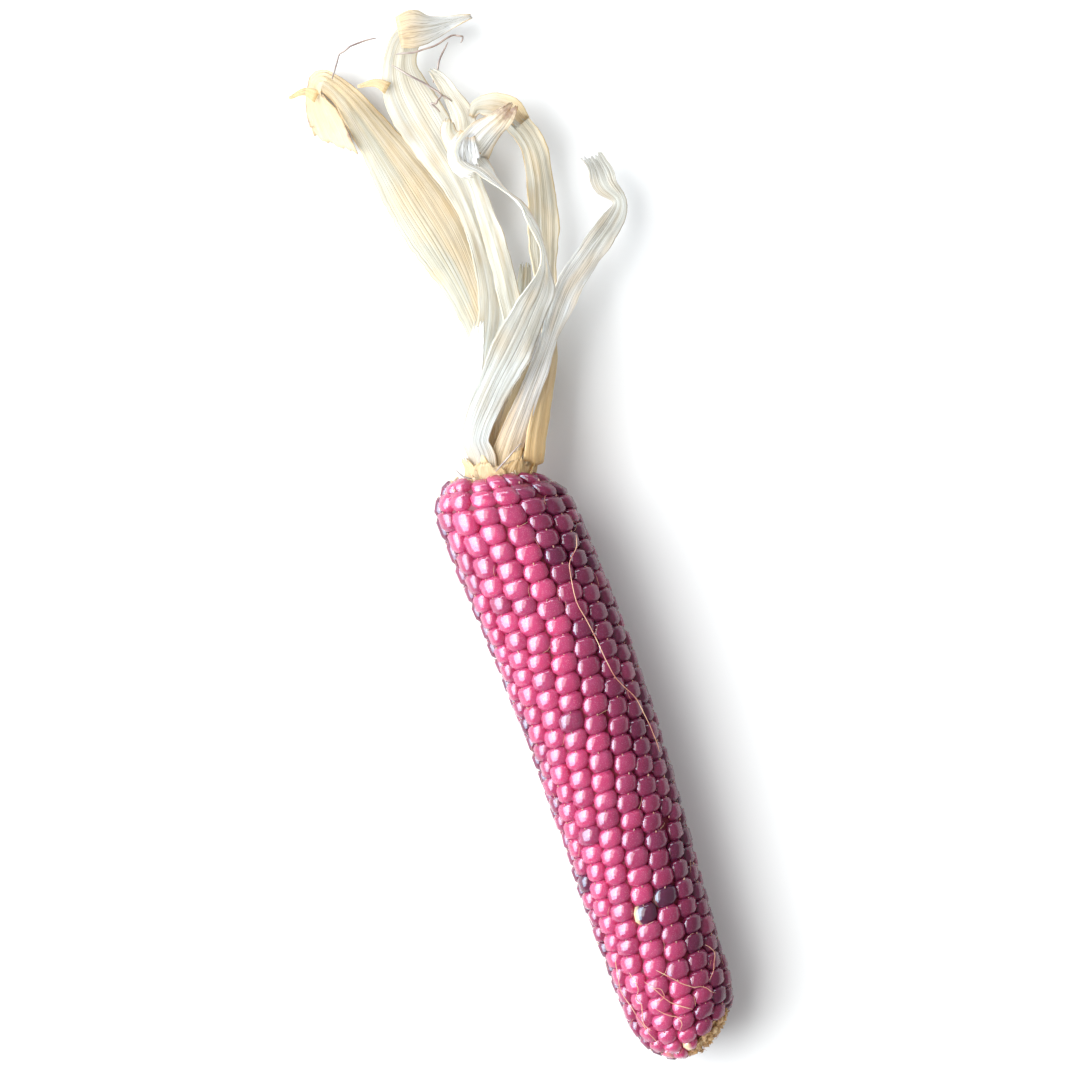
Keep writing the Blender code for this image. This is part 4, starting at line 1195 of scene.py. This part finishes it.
# %% Papery finishes
def husk_finish(name, light, shade, vein, root, veins, vein_depth, rim_depth):
    leaf = Finish(name, 0.6, Subsurface_Weight=0.5, Subsurface_Scale=0.003, Subsurface_Radius=(1.0, 0.9, 0.7))
    warm, brown, patch = leaf.painted("husk_tone")
    painted_shade, _, _ = leaf.painted("husk_painted_shade")
    fine = leaf.noise(leaf.place("UV", (64, 1.6, 1)), 1.0, 3.0, 0.6)
    bands = leaf.noise(leaf.place("UV", (10, 0.9, 1)), 1.0, 2.0)
    blotch = leaf.noise(leaf.place(), 160, 3.0, 0.6)
    split = leaf.node("ShaderNodeSeparateXYZ")
    leaf.put(leaf.place("UV"), split.inputs[0])
    across = split.outputs[0]
    wander = leaf.ramp(leaf.noise(leaf.place("UV", (7, 2.2, 1)), 1.0, 2.0), 0.2, 0.8, 0.0, 1.6)
    count = leaf.sums("ADD", leaf.sums("MULTIPLY", across, veins), wander)
    ridges = leaf.ramp(leaf.sums("PINGPONG", count, 0.5), 0.02, 0.16, 1.0, 0.0)
    ridges = leaf.sums("MULTIPLY", ridges, leaf.ramp(fine, 0.40, 0.62, 0.25 * vein_depth, vein_depth))
    rim = leaf.sums("ABSOLUTE", leaf.sums("SUBTRACT", across, 0.5), 0.0)
    rim = leaf.sums("MULTIPLY", leaf.ramp(rim, 0.455, 0.492), leaf.ramp(blotch, 0.3, 0.6, 0.4 * rim_depth, rim_depth))
    colour = leaf.blend(leaf.ramp(bands, 0.38, 0.62), light, shade)
    colour = leaf.blend(leaf.ramp(patch, 0.5, 0.8, 0.0, 0.4), colour, root)
    colour = leaf.blend(warm, colour, root)
    lines = leaf.sums("MULTIPLY", leaf.ramp(fine, 0.50, 0.64), leaf.ramp(bands, 0.30, 0.58, 0.2, 0.7))
    lines = leaf.sums("MAXIMUM", lines, ridges)
    colour = leaf.blend(lines, colour, leaf.blend(leaf.sums("MULTIPLY", warm, 0.6), vein, (0.56, 0.30, 0.11)))
    # Painted shade: darkens the leaf where the painted shade it carries is high.
    colour = leaf.blend(painted_shade, colour, leaf.blend(1.0, colour, (0.45, 0.44, 0.42), mode="MULTIPLY"))
    colour = leaf.blend(rim, colour, (0.52, 0.30, 0.10))
    scorch = leaf.sums("MULTIPLY", leaf.ramp(brown, 0.05, 0.75), leaf.ramp(blotch, 0.3, 0.6, 0.45, 1.0))
    colour = leaf.blend(scorch, colour, leaf.blend(leaf.ramp(scorch, 0.5, 0.95), (0.74, 0.45, 0.17), (0.17, 0.06, 0.02)))
    height = leaf.sums("SUBTRACT", leaf.sums("ADD", fine, leaf.sums("MULTIPLY", bands, 1.5)), ridges)
    return leaf.finish(colour, height, 0.55, 0.0003)


HUSK_FINISHES = {
    "pale": husk_finish(
        "husk_pale", (0.90, 0.90, 0.87), (0.80, 0.78, 0.71), (0.20, 0.15, 0.09), (0.90, 0.58, 0.27), 8, 0.95, 0.15
    ),
    "cream": husk_finish(
        "husk_cream", (0.73, 0.69, 0.60), (0.70, 0.62, 0.47), (0.45, 0.34, 0.20), (0.88, 0.56, 0.25), 12, 0.4, 0.55
    ),
    "tan": husk_finish(
        "husk_tan", (0.52, 0.49, 0.40), (0.50, 0.43, 0.29), (0.34, 0.25, 0.14), (0.90, 0.55, 0.23), 14, 0.5, 0.8
    ),
    "dun": husk_finish(
        "husk_dun", (0.65, 0.60, 0.49), (0.52, 0.44, 0.31), (0.28, 0.20, 0.12), (0.90, 0.59, 0.28), 12, 0.5, 0.5
    ),
}
for leaf_name, (leaf, finish_name) in leaves.items():
    slot = "husk_tan" if finish_name == "dun" else "husk_" + finish_name
    dress(leaf, HUSK_FINISHES[finish_name], slot, "husk_leaf_" + leaf_name)
for finish_name, piece in shreds.items():
    dress(piece, HUSK_FINISHES[finish_name], "husk_tan" if finish_name == "dun" else "husk_" + finish_name)
dress(stubs, HUSK_FINISHES["tan"], "husk_tan")

# %% Floor, light and camera
select_nothing()
bpy.ops.mesh.primitive_plane_add(size=4, location=(0.06, 0, 0))
floor = bpy.context.object
floor.name = "floor"
paper = Finish("floor_paper", 0.9)
paper.shader.inputs["Emission Color"].default_value = (1.0, 1.0, 1.0, 1.0)
paper.shader.inputs["Emission Strength"].default_value = 0.07
floor.data.materials.append(paper.finish((0.8, 0.8, 0.8)))

world = bpy.data.worlds.new("studio")
bpy.context.scene.world = world
world.use_nodes = True
world.node_tree.nodes["Background"].inputs["Color"].default_value = (1.0, 1.0, 1.0, 1.0)
world.node_tree.nodes["Background"].inputs["Strength"].default_value = 0.42

LOOK_AT = Vector((61.4 * MM, -4.3 * MM, 18 * MM))
PICTURE_UP = Vector((0.9398, -0.3418, 0.0))
PICTURE_LEFT = Vector((0.3418, 0.9398, 0.0))


def soft_box(name, left, up, high, width, height, power, colour, shine_only=False):
    data = bpy.data.lights.new(name, "AREA")
    data.shape = "RECTANGLE"
    data.size, data.size_y = width, height
    data.energy = power
    data.color = colour
    lamp = bpy.data.objects.new(name, data)
    bpy.context.scene.collection.objects.link(lamp)
    lamp.location = Vector((0.02, 0, 0.02)) + PICTURE_LEFT * left + PICTURE_UP * up + Vector((0, 0, high))
    lamp.rotation_euler = (Vector((0.02, 0, 0.02)) - lamp.location).to_track_quat("-Z", "Y").to_euler()
    lamp.visible_diffuse = not shine_only
    return lamp


soft_box("window", 0.75, 0.10, 1.10, 1.6, 0.80, 26.0, (0.98, 1.0, 1.0))
soft_box("low_window", 1.04, 0.05, 0.60, 1.2, 0.60, 13.0, (0.92, 0.96, 1.0))
soft_box("sheen", 1.10, 0.05, 0.48, 2.6, 1.25, 146.0, (0.48, 0.80, 1.0), shine_only=True)
soft_box("rim", 0.50, 1.15, 0.36, 1.5, 0.28, 15.0, (0.80, 0.88, 1.0), shine_only=True)

camera_data = bpy.data.cameras.new("camera")
camera = bpy.data.objects.new("camera", camera_data)
bpy.context.scene.collection.objects.link(camera)
camera_data.lens = 111.1
camera_data.clip_end = 20
camera.location = LOOK_AT + Vector((0, 0, 0.9))
camera.rotation_euler = (0, 0, -math.atan2(PICTURE_UP.x, PICTURE_UP.y))
bpy.context.scene.camera = camera
bpy.context.scene.view_settings.view_transform = "Standard"
